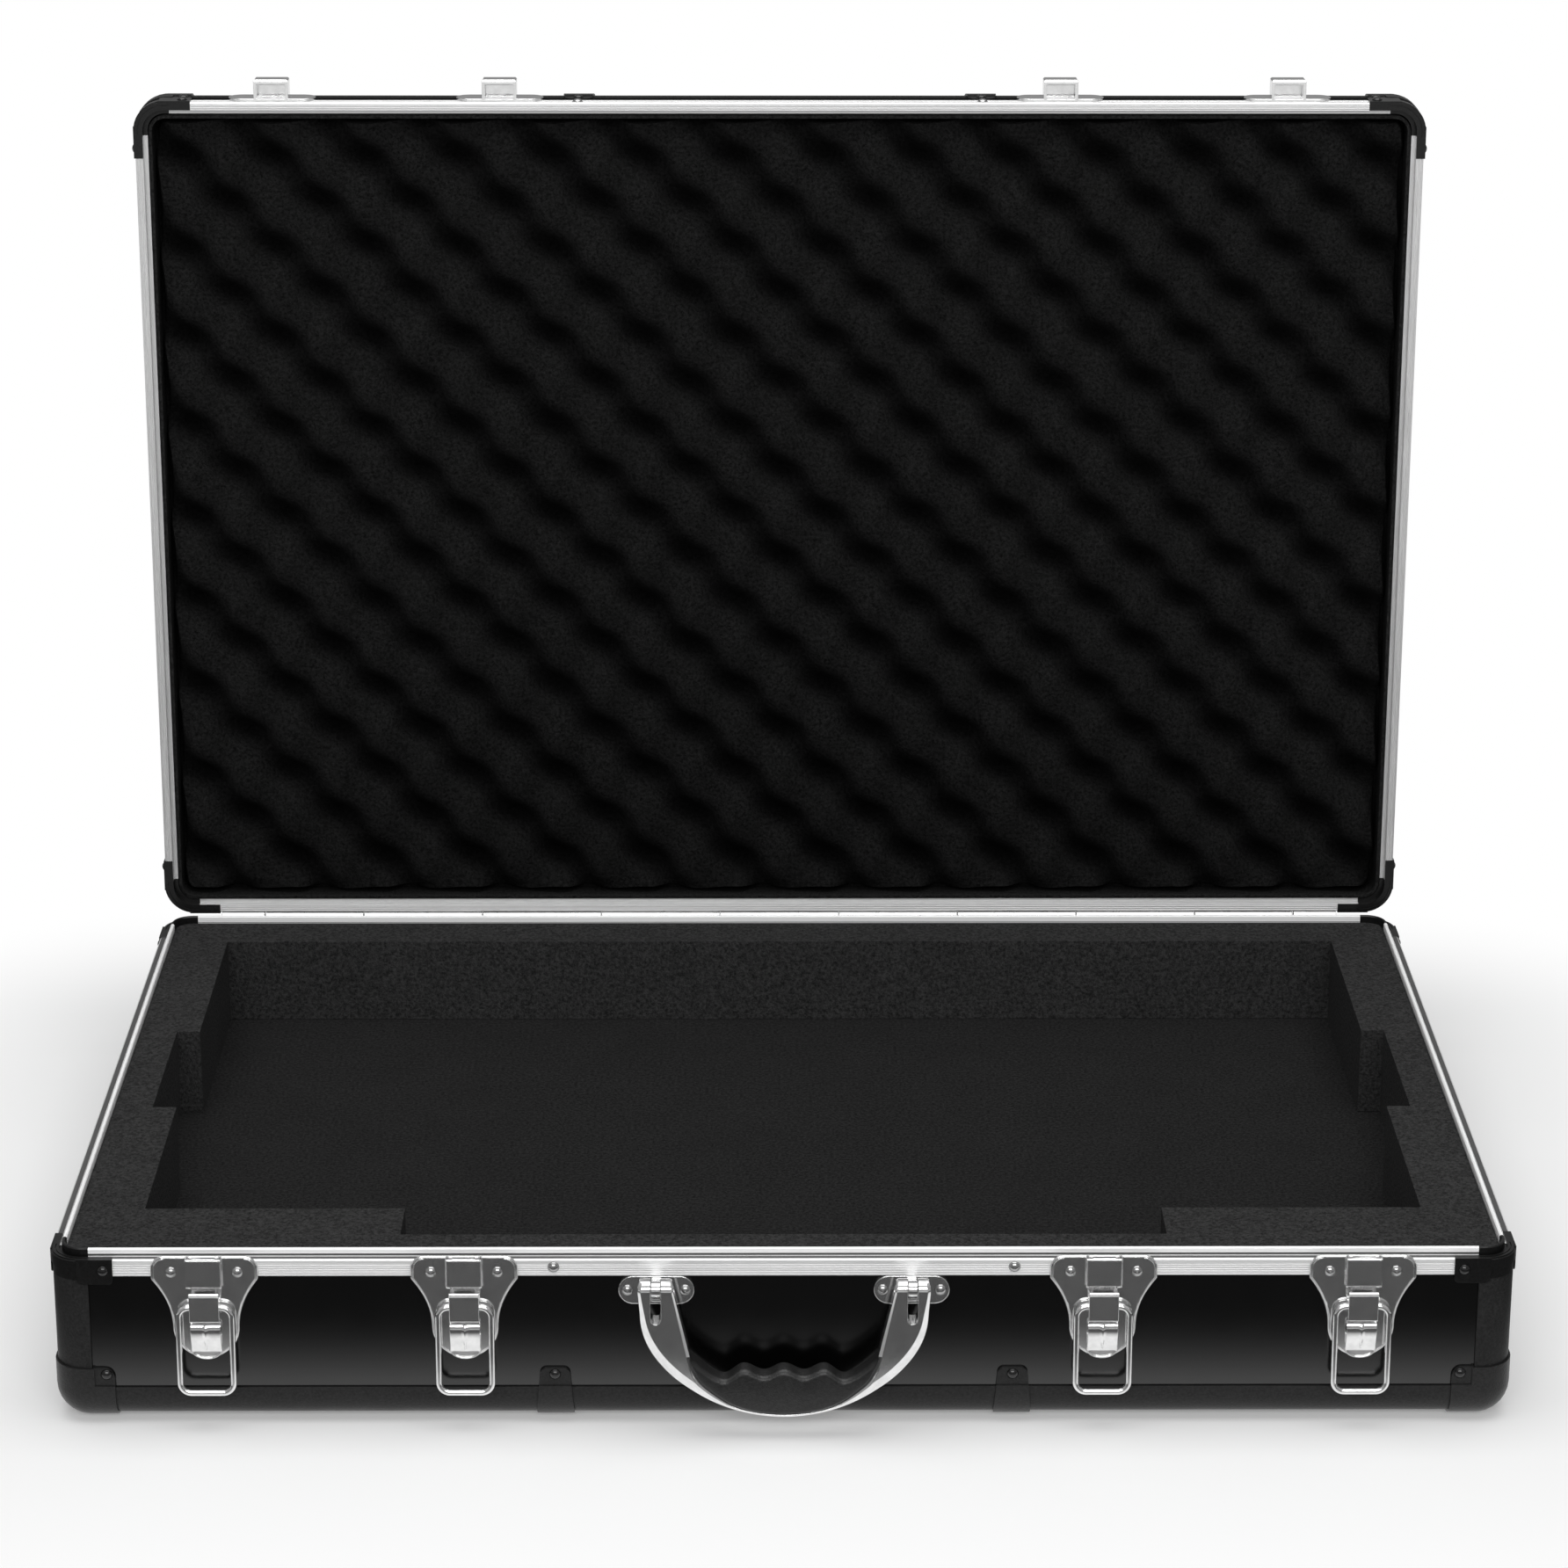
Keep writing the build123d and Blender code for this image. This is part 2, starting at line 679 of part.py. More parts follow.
def leaf_rivet_spots(shell):
    """Rivets of one hinge leaf, evenly spaced."""
    step = 2 * (LEAF_HALF - LEAF_RIVET_IN) / (LEAF_RIVETS - 1)
    first = -(LEAF_RIVETS - 1) / 2 * step
    down = (LEAF_FOOT + KNUCKLE_RADIUS + KNUCKLE_CLEAR - PIN_UP) / 2
    return [spot(shell, "back", first + index * step, down + PIN_UP, LEAF) for index in range(LEAF_RIVETS)]


def make_rivets(spots, small_spots):
    large = make_dome(RIVET_RADIUS, RIVET_HEIGHT)
    small = make_dome(PIN_RIVET_RADIUS, PIN_RIVET_HEIGHT)
    with BuildPart() as rivets:
        with Locations(*spots):
            add(large)
        if small_spots:
            with Locations(*small_spots):
                add(small)
    return rivets.part


# Foam
def make_base_foam():
    """Foam block with the cavity, its side notches and the step at the front."""
    reach = WALL + FOAM_FIT
    deep = CAVITY_DEPTH - FOAM_TOP
    with BuildPart() as foam:
        with BuildSketch(BASE.offset(FOAM_TOP)):
            RectangleRounded(WIDTH - 2 * reach, DEPTH - 2 * reach, FOAM_CORNER)
            with Locations((0, (CAVITY_FRONT - CAVITY_BACK) / 2)):
                Rectangle(2 * CAVITY_HALF_WIDTH, CAVITY_FRONT + CAVITY_BACK, mode=Mode.SUBTRACT)
            with Locations((0, (NOTCH_FRONT - NOTCH_BACK) / 2)):
                Rectangle(2 * NOTCH_OUT, NOTCH_FRONT + NOTCH_BACK, mode=Mode.SUBTRACT)
            with Locations((0, STEP_FRONT / 2)):
                Rectangle(2 * STEP_HALF_WIDTH, STEP_FRONT, mode=Mode.SUBTRACT)
        extrude(amount=deep)
    return foam.part


def make_foam_floor():
    """Foam sheet under the block, rounded where it lies in the lower edge strips."""
    reach = WALL + FOAM_FIT
    with BuildPart() as floor:
        with BuildSketch(BASE.offset(CAVITY_DEPTH)):
            RectangleRounded(WIDTH - 2 * reach, DEPTH - 2 * reach, FOAM_CORNER)
        extrude(amount=BASE_HEIGHT - WALL - CAVITY_DEPTH)
        lower = floor.faces().sort_by(Axis.Z)[0]
        fillet(lower.edges(), FOAM_CORNER - FOAM_FIT)
    return floor.part


def make_lid_foam():
    """Foam sheet in the lid: round diagonal ridges over a slab, and the lining round its walls."""
    reach = WALL + LID_FOAM_FIT
    wide = WIDTH - 2 * reach
    tall = DEPTH - 2 * reach
    rise = RIDGE_LEVEL - CREST
    radius = (RIDGE_WIDTH**2 / 4 + rise**2) / (2 * rise)
    ridge_run = LID.x_dir + LID.y_dir
    section = Plane(
        origin=LID.origin,
        x_dir=LID.x_dir - LID.y_dir,
        z_dir=ridge_run,
    )
    down = section.y_dir.dot(LID.z_dir) * (CREST + radius)
    half_count = int((wide + tall) / 2 * DIAGONAL / RIDGE_PITCH)
    places = [(index * RIDGE_PITCH, down) for index in range(-half_count, half_count + 1)]
    with BuildPart() as foam:
        with BuildSketch(section):
            with Locations(*places):
                Circle(radius)
        extrude(amount=WIDTH, both=True)
        with BuildSketch(LID):
            Rectangle(wide - 2 * RIDGE_MARGIN, tall - 2 * RIDGE_MARGIN)
        extrude(amount=CREST + radius, mode=Mode.INTERSECT)
        with BuildSketch(LID.offset(RIDGE_LEVEL)):
            RectangleRounded(wide, tall, FOAM_CORNER)
        extrude(amount=LID_HEIGHT - WALL - RIDGE_LEVEL)
        with BuildSketch(LID.offset(LINING_DOWN)):
            RectangleRounded(wide, tall, FOAM_CORNER)
            RectangleRounded(wide - 2 * LINING, tall - 2 * LINING, FOAM_CORNER - LINING, mode=Mode.SUBTRACT)
        extrude(amount=RIDGE_LEVEL - LINING_DOWN)
        rear = foam.faces().sort_by(Axis(LID.origin, LID.z_dir))[-1]
        fillet(rear.edges(), FOAM_CORNER - FOAM_FIT)
    return foam.part


# Hinge
def knuckle_spans():
    """Start and end of each knuckle along X."""
    inner = KNUCKLE_COUNT - 2
    stations = [(index - inner / 2) * KNUCKLE_LENGTH for index in range(inner + 1)]
    ends = [-LEAF_HALF] + stations + [LEAF_HALF]
    return list(zip(ends, ends[1:]))


def make_leaf(shell, first):
    """One leaf of the piano hinge, with every second knuckle."""
    spans = knuckle_spans()
    whole = spans[-1][1] - spans[0][0]
    clear = KNUCKLE_RADIUS + KNUCKLE_CLEAR
    up = PIN_UP if shell is BASE else -PIN_UP
    axis = wall_section(shell, "back")
    axis_x = -PIN_BACK
    with BuildPart() as leaf:
        with BuildSketch(axis):
            with Locations((-LEAF / 2, (LEAF_FOOT + clear - up) / 2)):
                Rectangle(LEAF, LEAF_FOOT - clear + up)
        extrude(amount=whole / 2, both=True)
        for start, end in spans[first::2]:
            middle = (start + end) / 2 * axis.z_dir.X
            with BuildSketch(axis.offset(middle)):
                with Locations((-LEAF / 2, (clear - 2 * up) / 2)):
                    Rectangle(LEAF, clear)
                with Locations((axis_x, -up)):
                    Circle(KNUCKLE_RADIUS)
            extrude(amount=(end - start - KNUCKLE_GAP) / 2, both=True)
        with BuildSketch(axis):
            with Locations((axis_x, -up)):
                Circle(KNUCKLE_BORE)
        extrude(amount=whole, both=True, mode=Mode.SUBTRACT)
    return leaf.part


def make_hinge_pin():
    spans = knuckle_spans()
    with BuildPart() as pin:
        with BuildSketch(Plane(origin=PIN, z_dir=(1, 0, 0))):
            Circle(PIN_RADIUS)
        extrude(amount=spans[-1][1] - KNUCKLE_GAP, both=True)
    return pin.part


def make_lid_stops():
    """Angle brackets behind the base that the open lid rests on, curled round the hinge axis."""
    leg_top = PIN_BACK - STOP_FIT
    section = Plane(origin=PIN, x_dir=(0, 1, 0), z_dir=(1, 0, 0))
    middle = (STOP_INNER + STOP_OUTER) / 2
    lean = OPEN_ANGLE - 90
    with BuildPart() as stops:
        with BuildSketch(section.offset(middle)):
            with Locations((-PIN_BACK / 2, -(LEAF_FOOT + 2 * PIN_UP) / 2 - PIN_UP)):
                Rectangle(PIN_BACK, LEAF_FOOT)
            Circle(leg_top)
            with Locations(Location((0, 0, 0), (0, 0, -lean))):
                with Locations((STOP_REACH / 2, leg_top - STOP_LEG / 2)):
                    Rectangle(STOP_REACH, STOP_LEG)
        extrude(amount=STOP_WIDTH / 2, both=True)
        with BuildSketch(Plane(origin=PIN + Vector(middle, STOP_REACH / 2 + STOP_LEG, 0))):
            Circle(STOP_HOLE_RADIUS)
        extrude(amount=2 * PIN_BACK, mode=Mode.SUBTRACT)
        mirror(about=Plane.YZ)
    return stops.part


# Latches. In these planes x is across, y is up and z is out of the front face
def front_plane(x):
    return Plane(origin=(x, -DEPTH / 2, MATE), x_dir=(1, 0, 0), z_dir=(0, -1, 0))


def side_plane(x):
    """Side view at x: x is out of the front face and y is up."""
    return Plane(origin=(x, -DEPTH / 2, MATE), x_dir=(0, -1, 0), z_dir=(-1, 0, 0))


def latch_outline(inset, top):
    """Shield shape: wide shoulders, sides that curve in, a round lower end."""
    half_top = LATCH_HALF_TOP - inset
    half_neck = LATCH_HALF_NECK - inset
    with BuildSketch() as outline:
        with BuildLine():
            Line((0, top), (half_top, top))
            Line((half_top, top), (half_top, -LATCH_SHOULDER))
            Spline(
                (half_top, -LATCH_SHOULDER),
                (half_neck, -LATCH_NECK_DOWN),
                tangents=(LATCH_SIDE_LEAN, (0, -1)),
            )
            RadiusArc((half_neck, -LATCH_NECK_DOWN), (0, -LATCH_NECK_DOWN - half_neck), half_neck)
            mirror(about=Plane.YZ)
        make_face()
    return outline.sketch


def make_latch_plate(x):
    front = front_plane(x)
    rise = LATCH_TOP + BRIDGE_DOWN
    with BuildPart() as plate:
        with BuildSketch(front):
            add(latch_outline(0, LATCH_TOP))
        extrude(amount=LATCH_PLATE)
        corners = plate.edges().filter_by(Axis.Y).group_by(Axis.Z)[-1]
        fillet(corners, LATCH_CORNER)
        outer_rim = plate.faces().sort_by(Axis.Y)[0].edges()
        chamfer(outer_rim, LATCH_RELIEF)
        with BuildSketch(front):
            add(latch_outline(LATCH_PLATE, -SHELF))
        extrude(amount=-SKIN)
        with BuildSketch(front):
            with Locations((0, LATCH_TOP / 2)):
                Rectangle(2 * LATCH_HALF_TOP, LATCH_TOP + 2 * LATCH_RELIEF)
        extrude(amount=LATCH_RELIEF, mode=Mode.SUBTRACT)
        with BuildSketch(front.offset(LATCH_PLATE)):
            with Locations((0, (LATCH_TOP - BRIDGE_DOWN) / 2)):
                Rectangle(BRIDGE_WIDTH, rise)
                Rectangle(BRIDGE_WIDTH - 2 * BRIDGE_WALL, rise, mode=Mode.SUBTRACT)
        extrude(amount=BRIDGE_OUT - LATCH_PLATE)
        with BuildSketch(front.offset(BRIDGE_OUT - BRIDGE_WALL)):
            with Locations((0, (LATCH_TOP - BRIDGE_DOWN) / 2)):
                Rectangle(BRIDGE_WIDTH, rise)
        extrude(amount=BRIDGE_WALL)
    return plate.part


def make_latch_hook(x):
    """Sliding hook: a strip behind the bridge, an eye for the bail and a square front pad."""
    side = side_plane(x)
    pad_out = BAR_OUT + BAR_EYE
    with BuildPart() as hook:
        with BuildSketch(side):
            with Locations((HOOK_BACK + HOOK_STRIP / 2, (LATCH_TOP - BAR_DOWN) / 2)):
                Rectangle(HOOK_STRIP, LATCH_TOP + BAR_DOWN)
            with Locations((HOOK_OUT + HOOK_NOSE / 2, LATCH_TOP - HOOK_NOSE_HEIGHT / 2)):
                Rectangle(HOOK_NOSE, HOOK_NOSE_HEIGHT)
        extrude(amount=HOOK_WIDTH / 2, both=True)
        with BuildSketch(side):
            with Locations((BAR_OUT, -BAR_DOWN)):
                Circle(BAR_EYE)
            with Locations((pad_out - HOOK_STRIP / 2, -(PAD_TOP + PAD_BOTTOM) / 2)):
                Rectangle(HOOK_STRIP, PAD_BOTTOM - PAD_TOP)
            with Locations((pad_out - HOOK_STRIP / 2, -PAD_TOP)):
                Circle(PAD_CURL)
        extrude(amount=PAD_WIDTH / 2, both=True)
        with BuildSketch(side):
            with Locations((BAR_OUT, -BAR_DOWN)):
                Circle(BAR_BORE)
        extrude(amount=PAD_WIDTH, both=True, mode=Mode.SUBTRACT)
    return hook.part


def make_latch_bail(x):
    """Wire loop through the hook's eye, hanging a little out from the case."""
    out = Vector(0, -1, 0).rotate(Axis.X, -BAIL_TILT)
    bar = Vector(x, -DEPTH / 2 - BAR_OUT, MATE - BAR_DOWN)
    loop = Plane(origin=bar, x_dir=(1, 0, 0), z_dir=out)
    half = (BAIL_WIDTH - BAIL_WIRE) / 2
    with BuildPart() as bail:
        with BuildLine(loop):
            FilletPolyline(
                (-half, 0),
                (half, 0),
                (half, -BAIL_DROP),
                (-half, -BAIL_DROP),
                radius=BAIL_CORNER,
                close=True,
            )
        with BuildSketch(Plane(origin=bar, z_dir=(1, 0, 0))):
            Circle(BAIL_WIRE / 2)
        sweep()
    return bail.part


def make_latch_tongues():
    """Curled bright tongues under the bails, each with a raised stake."""
    fall = TONGUE_BOTTOM - TONGUE_TOP
    end = LATCH_PLATE + TONGUE_SHEET
    with BuildPart() as tongues:
        for x in LATCH_X:
            side = side_plane(x)
            with BuildSketch(side):
                with BuildLine():
                    Polyline(
                        (LATCH_PLATE, -TONGUE_TOP),
                        (TONGUE_OUT, -TONGUE_TOP),
                        (TONGUE_OUT, -TONGUE_TOP - TONGUE_CURL),
                        (end, -TONGUE_BOTTOM),
                        (LATCH_PLATE, -TONGUE_BOTTOM),
                        close=True,
                    )
                make_face()
            extrude(amount=TONGUE_WIDTH / 2, both=True)
        uprights = tongues.edges().filter_by(Axis.Y).group_by(Axis.Z)[0]
        fillet(uprights, TONGUE_WIDTH / 2 - BOARD_GAP)
        for x in LATCH_X:
            with BuildSketch(front_plane(x).offset(LATCH_PLATE)):
                with Locations((0, -TONGUE_TOP - STAKE_LENGTH / 2)):
                    SlotOverall(STAKE_LENGTH, STAKE_WIDTH, rotation=90)
            extrude(amount=TONGUE_OUT + STAKE_PROUD - LATCH_PLATE)
    return tongues.part


def make_lid_catch(x):
    """Catch on the lid: an oval plate with a box-shaped keeper that opens towards the base."""
    face = Plane(
        origin=LID.origin + LID.y_dir * DEPTH / 2 + Vector(x, 0, 0),
        x_dir=(1, 0, 0),
        z_dir=LID.y_dir,
    )
    middle = CATCH_DOWN + CATCH_HEIGHT / 2
    below = CATCH_DOWN + CATCH_HEIGHT - SHELF
    with BuildPart() as catch:
        with BuildSketch(face):
            with Locations((0, middle)):
                SlotOverall(CATCH_WIDTH, CATCH_HEIGHT)
        extrude(amount=CATCH_PLATE)
        with BuildSketch(face):
            with Locations((0, SHELF + below / 2)):
                Rectangle(CATCH_WIDTH - 2 * CATCH_HEIGHT, below)
        extrude(amount=-SKIN)
        with BuildSketch(face.offset(CATCH_PLATE)):
            with Locations((0, CATCH_DOWN + KEEPER_HEIGHT / 2)):
                Rectangle(KEEPER_WIDTH, KEEPER_HEIGHT)
        extrude(amount=KEEPER_OUT - CATCH_PLATE)
        edges = catch.faces().sort_by(Axis(LID.origin, LID.y_dir))[-1].edges()
        chamfer(edges, KEEPER_WALL / 2)
        hollow = KEEPER_HEIGHT - KEEPER_WALL
        with BuildSketch(face.offset(CATCH_PLATE)):
            with Locations((0, CATCH_DOWN + hollow / 2)):
                Rectangle(KEEPER_WIDTH - 2 * KEEPER_WALL, hollow)
        extrude(amount=KEEPER_OUT - KEEPER_WALL - CATCH_PLATE, mode=Mode.SUBTRACT)
        with BuildSketch(face.offset(KEEPER_OUT - KEEPER_WALL - KEEPER_LIP)):
            with Locations((0, CATCH_DOWN + KEEPER_LIP / 2)):
                Rectangle(KEEPER_WIDTH - KEEPER_WALL, KEEPER_LIP)
        extrude(amount=KEEPER_LIP + KEEPER_WALL / 2)
    return catch.part


def hardware_spot(x, down, proud):
    """Plane for a rivet head on a piece of hardware at the front."""
    front = front_plane(x)
    return Plane(origin=front.from_local_coords((0, -down, proud)), x_dir=front.x_dir, z_dir=front.z_dir)


def latch_rivet_spots():
    places = [x + way * LATCH_RIVET_X for x in LATCH_X for way in (-1, 1)]
    return [hardware_spot(x, LATCH_RIVET_DOWN, LATCH_PLATE) for x in places]


# Handle
def bow_inner_line():
    """Inner edge of the bow, from one arm over the low middle to the other."""
    elbow_x, elbow_z = ARM_ELBOW
    right = [(elbow_x, elbow_z)] + list(BOW_FLOOR)
    left = [(-px, pz) for px, pz in reversed(right)]
    Spline(right + [(0, -BOW_FLOOR_DOWN)] + left)


def make_handle_bow():
    front = Plane(origin=(0, -DEPTH / 2 - PIVOT_OUT, MATE), x_dir=(1, 0, 0), z_dir=(0, -1, 0))
    arm_outer = HANDLE_X + ARM_WIDTH / 2
    arm_inner = HANDLE_X - ARM_WIDTH / 2
    slot_end = SLOT_BOTTOM - SLOT_WIDTH / 2
    with BuildPart() as bow:
        with BuildSketch(front):
            with BuildLine():
                Line((arm_outer, -PIVOT_DOWN), (BOW_HALF_WIDTH, -BOW_CENTRE_DOWN))
                EllipticalCenterArc(
                    (0, -BOW_CENTRE_DOWN),
                    BOW_HALF_WIDTH,
                    BOW_DROP,
                    start_angle=HALF_TURN,
                    arc_size=HALF_TURN,
                )
                Line((-BOW_HALF_WIDTH, -BOW_CENTRE_DOWN), (-arm_outer, -PIVOT_DOWN))
                Line((-arm_outer, -PIVOT_DOWN), (-arm_inner, -PIVOT_DOWN))
                Line((-arm_inner, -PIVOT_DOWN), (-ARM_ELBOW[0], ARM_ELBOW[1]))
                bow_inner_line()
                Line(ARM_ELBOW, (arm_inner, -PIVOT_DOWN))
                Line((arm_inner, -PIVOT_DOWN), (arm_outer, -PIVOT_DOWN))
            make_face()
        extrude(amount=BOW_THICK / 2, both=True)
        for way in (-1, 1):
            eye = Plane(origin=front.origin + Vector(way * HANDLE_X, 0, -PIVOT_DOWN), z_dir=(1, 0, 0))
            with BuildSketch(eye):
                Circle(BOW_THICK / 2)
            extrude(amount=ARM_WIDTH / 2, both=True)
            with BuildSketch(front):
                with Locations((way * HANDLE_X, -slot_end)):
                    Circle(SLOT_WIDTH / 2)
                with Locations((way * HANDLE_X, -slot_end / 2)):
                    Rectangle(SLOT_WIDTH, slot_end)
            extrude(amount=BOW_THICK, both=True, mode=Mode.SUBTRACT)
            with BuildSketch(eye):
                Circle(PIVOT_RADIUS + PIVOT_FIT)
            extrude(amount=ARM_WIDTH, both=True, mode=Mode.SUBTRACT)
    return bow.part


def make_handle_grip():
    """Moulded grip that fills the bow's low middle, with a waved upper edge for the fingers."""
    front = Plane(origin=(0, -DEPTH / 2 - PIVOT_OUT, MATE), x_dir=(1, 0, 0), z_dir=(0, -1, 0))
    waves = []
    for step in range(-WAVES_EACH_WAY, WAVES_EACH_WAY + 1):
        level = WAVE_CREST_DOWN if step % 2 == 0 else WAVE_TROUGH_DOWN
        waves.append((step * WAVE_STEP, -level))
    shoulder_x, shoulder_z = GRIP_SHOULDER
    with BuildPart() as grip:
        with BuildSketch(front):
            with BuildLine():
                bow_inner_line()
                Line(ARM_ELBOW, GRIP_END)
                Line(GRIP_END, (GRIP_END[0] - GRIP_ROUND, GRIP_END[1]))
                Line((GRIP_END[0] - GRIP_ROUND, GRIP_END[1]), (shoulder_x, shoulder_z))
                Spline([(shoulder_x, shoulder_z)] + waves[::-1] + [(-shoulder_x, shoulder_z)])
                Line((-shoulder_x, shoulder_z), (GRIP_ROUND - GRIP_END[0], GRIP_END[1]))
                Line((GRIP_ROUND - GRIP_END[0], GRIP_END[1]), (-GRIP_END[0], GRIP_END[1]))
                Line((-GRIP_END[0], GRIP_END[1]), (-ARM_ELBOW[0], ARM_ELBOW[1]))
            make_face()
        extrude(amount=GRIP_THICK / 2, both=True)
    return grip.part


def make_handle_bracket(x):
    """Riveted oval plate with a fin that carries the handle's pin."""
    front = front_plane(x)
    out = BRACKET_PLATE - SKIN
    with BuildPart() as bracket:
        with BuildSketch(front.offset(-SKIN)):
            with Locations((0, -BRACKET_DOWN)):
                SlotOverall(BRACKET_WIDTH, BRACKET_HEIGHT)
        extrude(amount=BRACKET_PLATE)
        with BuildSketch(side_plane(x)):
            with Locations((PIVOT_OUT, -PIVOT_DOWN)):
                Circle(FIN_RADIUS)
            with Locations((out / 2, -BRACKET_DOWN)):
                Rectangle(out, FIN_ROOT)
            make_hull()
        extrude(amount=FIN_WIDTH / 2, both=True)
        with BuildSketch(side_plane(x)):
            with Locations((PIVOT_OUT, -PIVOT_DOWN)):
                Circle(PIVOT_RADIUS)
        extrude(amount=FIN_WIDTH, both=True, mode=Mode.SUBTRACT)
    return bracket.part


def make_handle_pins():
    with BuildPart() as pins:
        for x in (-HANDLE_X, HANDLE_X):
            axis = Plane(origin=(x, -DEPTH / 2 - PIVOT_OUT, MATE - PIVOT_DOWN), z_dir=(1, 0, 0))
            with BuildSketch(axis):
                Circle(PIVOT_RADIUS)
            extrude(amount=ARM_WIDTH / 2, both=True)
    return pins.part


def bracket_rivet_spots():
    places = [x + way * BRACKET_RIVET_X for x in (-HANDLE_X, HANDLE_X) for way in (-1, 1)]
    return [hardware_spot(x, BRACKET_DOWN, BRACKET_PLATE - SKIN) for x in places]


def make_shell(shell, name, height, cover_rise, outline, web, flat_name):
    for side in ("front", "back", "left", "right"):
        save(name + "_rim_" + side, make_rim(shell, side, outline))
        save(name + "_" + side + "_panel", make_wall_board(shell, side, height, web))
    save(flat_name, make_flat_board(shell, height))
    save(name + "_corner_fittings", make_corner_fittings(shell, outline))
    save(name + "_corner_strips", make_corner_strips(shell, height))
    save(name + "_edge_strips", make_edge_strips(shell, height))
    save(name + "_corner_caps", make_corner_caps(shell, height, cover_rise))
    save(name + "_edge_clips", make_edge_clips(shell, height, cover_rise))


os.makedirs("parts", exist_ok=True)
make_shell(BASE, "base", BASE_HEIGHT, COVER_RISE, base_rim_outline, RIM_WEB, "base_bottom_panel")
make_shell(LID, "lid", LID_HEIGHT, LID_COVER_RISE, lid_rim_outline, RECESS_WEB, "lid_top_panel")
save("base_foam", make_base_foam())
save("base_foam_floor", make_foam_floor())
save("lid_foam", make_lid_foam())
save("hinge_base_leaf", make_leaf(BASE, 0))
save("hinge_lid_leaf", make_leaf(LID, 1))
save("hinge_pin", make_hinge_pin())
save("lid_stops", make_lid_stops())
for number, latch_x in enumerate(LATCH_X, start=1):
    save(f"latch_{number}_plate", make_latch_plate(latch_x))
    save(f"latch_{number}_hook", make_latch_hook(latch_x))
    save(f"latch_{number}_bail", make_latch_bail(latch_x))
    save(f"lid_catch_{number}", make_lid_catch(latch_x))
save("latch_tongues", make_latch_tongues())
save("handle_bow", make_handle_bow())
save("handle_grip", make_handle_grip())
save("handle_bracket_left", make_handle_bracket(-HANDLE_X))
save("handle_bracket_right", make_handle_bracket(HANDLE_X))
save("handle_pins", make_handle_pins())
save("base_rivets", make_rivets(shell_rivet_spots(BASE, BASE_HEIGHT, COVER_RISE), leaf_rivet_spots(BASE)))
save("base_hardware_rivets", make_rivets(latch_rivet_spots() + bracket_rivet_spots(), []))
save("lid_rivets", make_rivets(shell_rivet_spots(LID, LID_HEIGHT, LID_COVER_RISE), leaf_rivet_spots(LID)))
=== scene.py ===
import json
import math

import bmesh
import bpy
import numpy as np
from mathutils import Matrix, Vector


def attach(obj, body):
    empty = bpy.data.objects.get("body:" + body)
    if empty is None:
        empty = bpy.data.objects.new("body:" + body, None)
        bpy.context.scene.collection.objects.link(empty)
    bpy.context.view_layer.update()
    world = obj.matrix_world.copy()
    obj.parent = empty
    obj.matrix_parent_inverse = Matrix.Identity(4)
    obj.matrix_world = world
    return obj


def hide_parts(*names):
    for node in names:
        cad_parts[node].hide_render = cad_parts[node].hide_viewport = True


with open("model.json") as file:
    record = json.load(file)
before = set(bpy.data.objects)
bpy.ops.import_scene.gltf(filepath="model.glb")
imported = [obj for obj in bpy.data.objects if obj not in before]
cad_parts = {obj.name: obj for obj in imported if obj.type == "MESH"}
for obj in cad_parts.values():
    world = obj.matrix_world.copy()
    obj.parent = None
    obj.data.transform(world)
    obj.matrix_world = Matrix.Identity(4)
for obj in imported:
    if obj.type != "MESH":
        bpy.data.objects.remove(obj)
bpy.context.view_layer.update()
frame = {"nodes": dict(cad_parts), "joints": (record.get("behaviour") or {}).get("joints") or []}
nodes = frame["nodes"]
joints = {joint["name"]: joint for joint in frame["joints"]}
scene = bpy.context.scene

# Real sizes in metres
MM = 0.001
WIDTH = 660 * MM
DEPTH = 437 * MM
BASE_HEIGHT = 81 * MM
MATE = 82 * MM
LID_HEIGHT = 37 * MM
WALL = 6.3 * MM
FRONT = -DEPTH / 2
OPEN_ANGLE = math.radians(91.2)
LATCH_X = (-260 * MM, -143.5 * MM, 143.5 * MM, 260 * MM)

# Camera, from the photograph's lines
CAMERA_PLACE = Vector((-11.9, -2084.1, 941.3)) * MM
CAMERA_YAW = 0.0062
CAMERA_PITCH = 0.3278
CAMERA_ROLL = 0.0014
CAMERA_LENS = 104.6
CAMERA_SENSOR = 36
CAMERA_NEAR = 0.05
CAMERA_FAR = 60

# Lid plane: origin at the middle of its mating face, y towards its front edge, z into the lid
lid_pivot = Vector(joints["lid_hinge"]["pos_m"])
lid_turn = Matrix.Rotation(-OPEN_ANGLE, 3, "X")
lid_origin = lid_pivot + lid_turn @ (Vector((0, 0, MATE)) - lid_pivot)
lid_along = lid_turn @ Vector((0, -1, 0))
lid_inward = lid_turn @ Vector((0, 0, 1))


# Shader steps
def grey(value):
    return (value, value, value)


def new_material(name, base, roughness, metallic=0.0):
    material = bpy.data.materials.new(name)
    material.use_nodes = True
    shader = material.node_tree.nodes["Principled BSDF"]
    shader.inputs["Base Color"].default_value = (*base, 1)
    shader.inputs["Roughness"].default_value = roughness
    shader.inputs["Metallic"].default_value = metallic
    return material, material.node_tree, shader


def add_node(tree, kind, **values):
    """A node with values for its sockets, or for its own settings where no socket has the name."""
    node = tree.nodes.new(kind)
    for key, value in values.items():
        if key in node.inputs:
            node.inputs[key].default_value = value
        else:
            setattr(node, key, value)
    return node


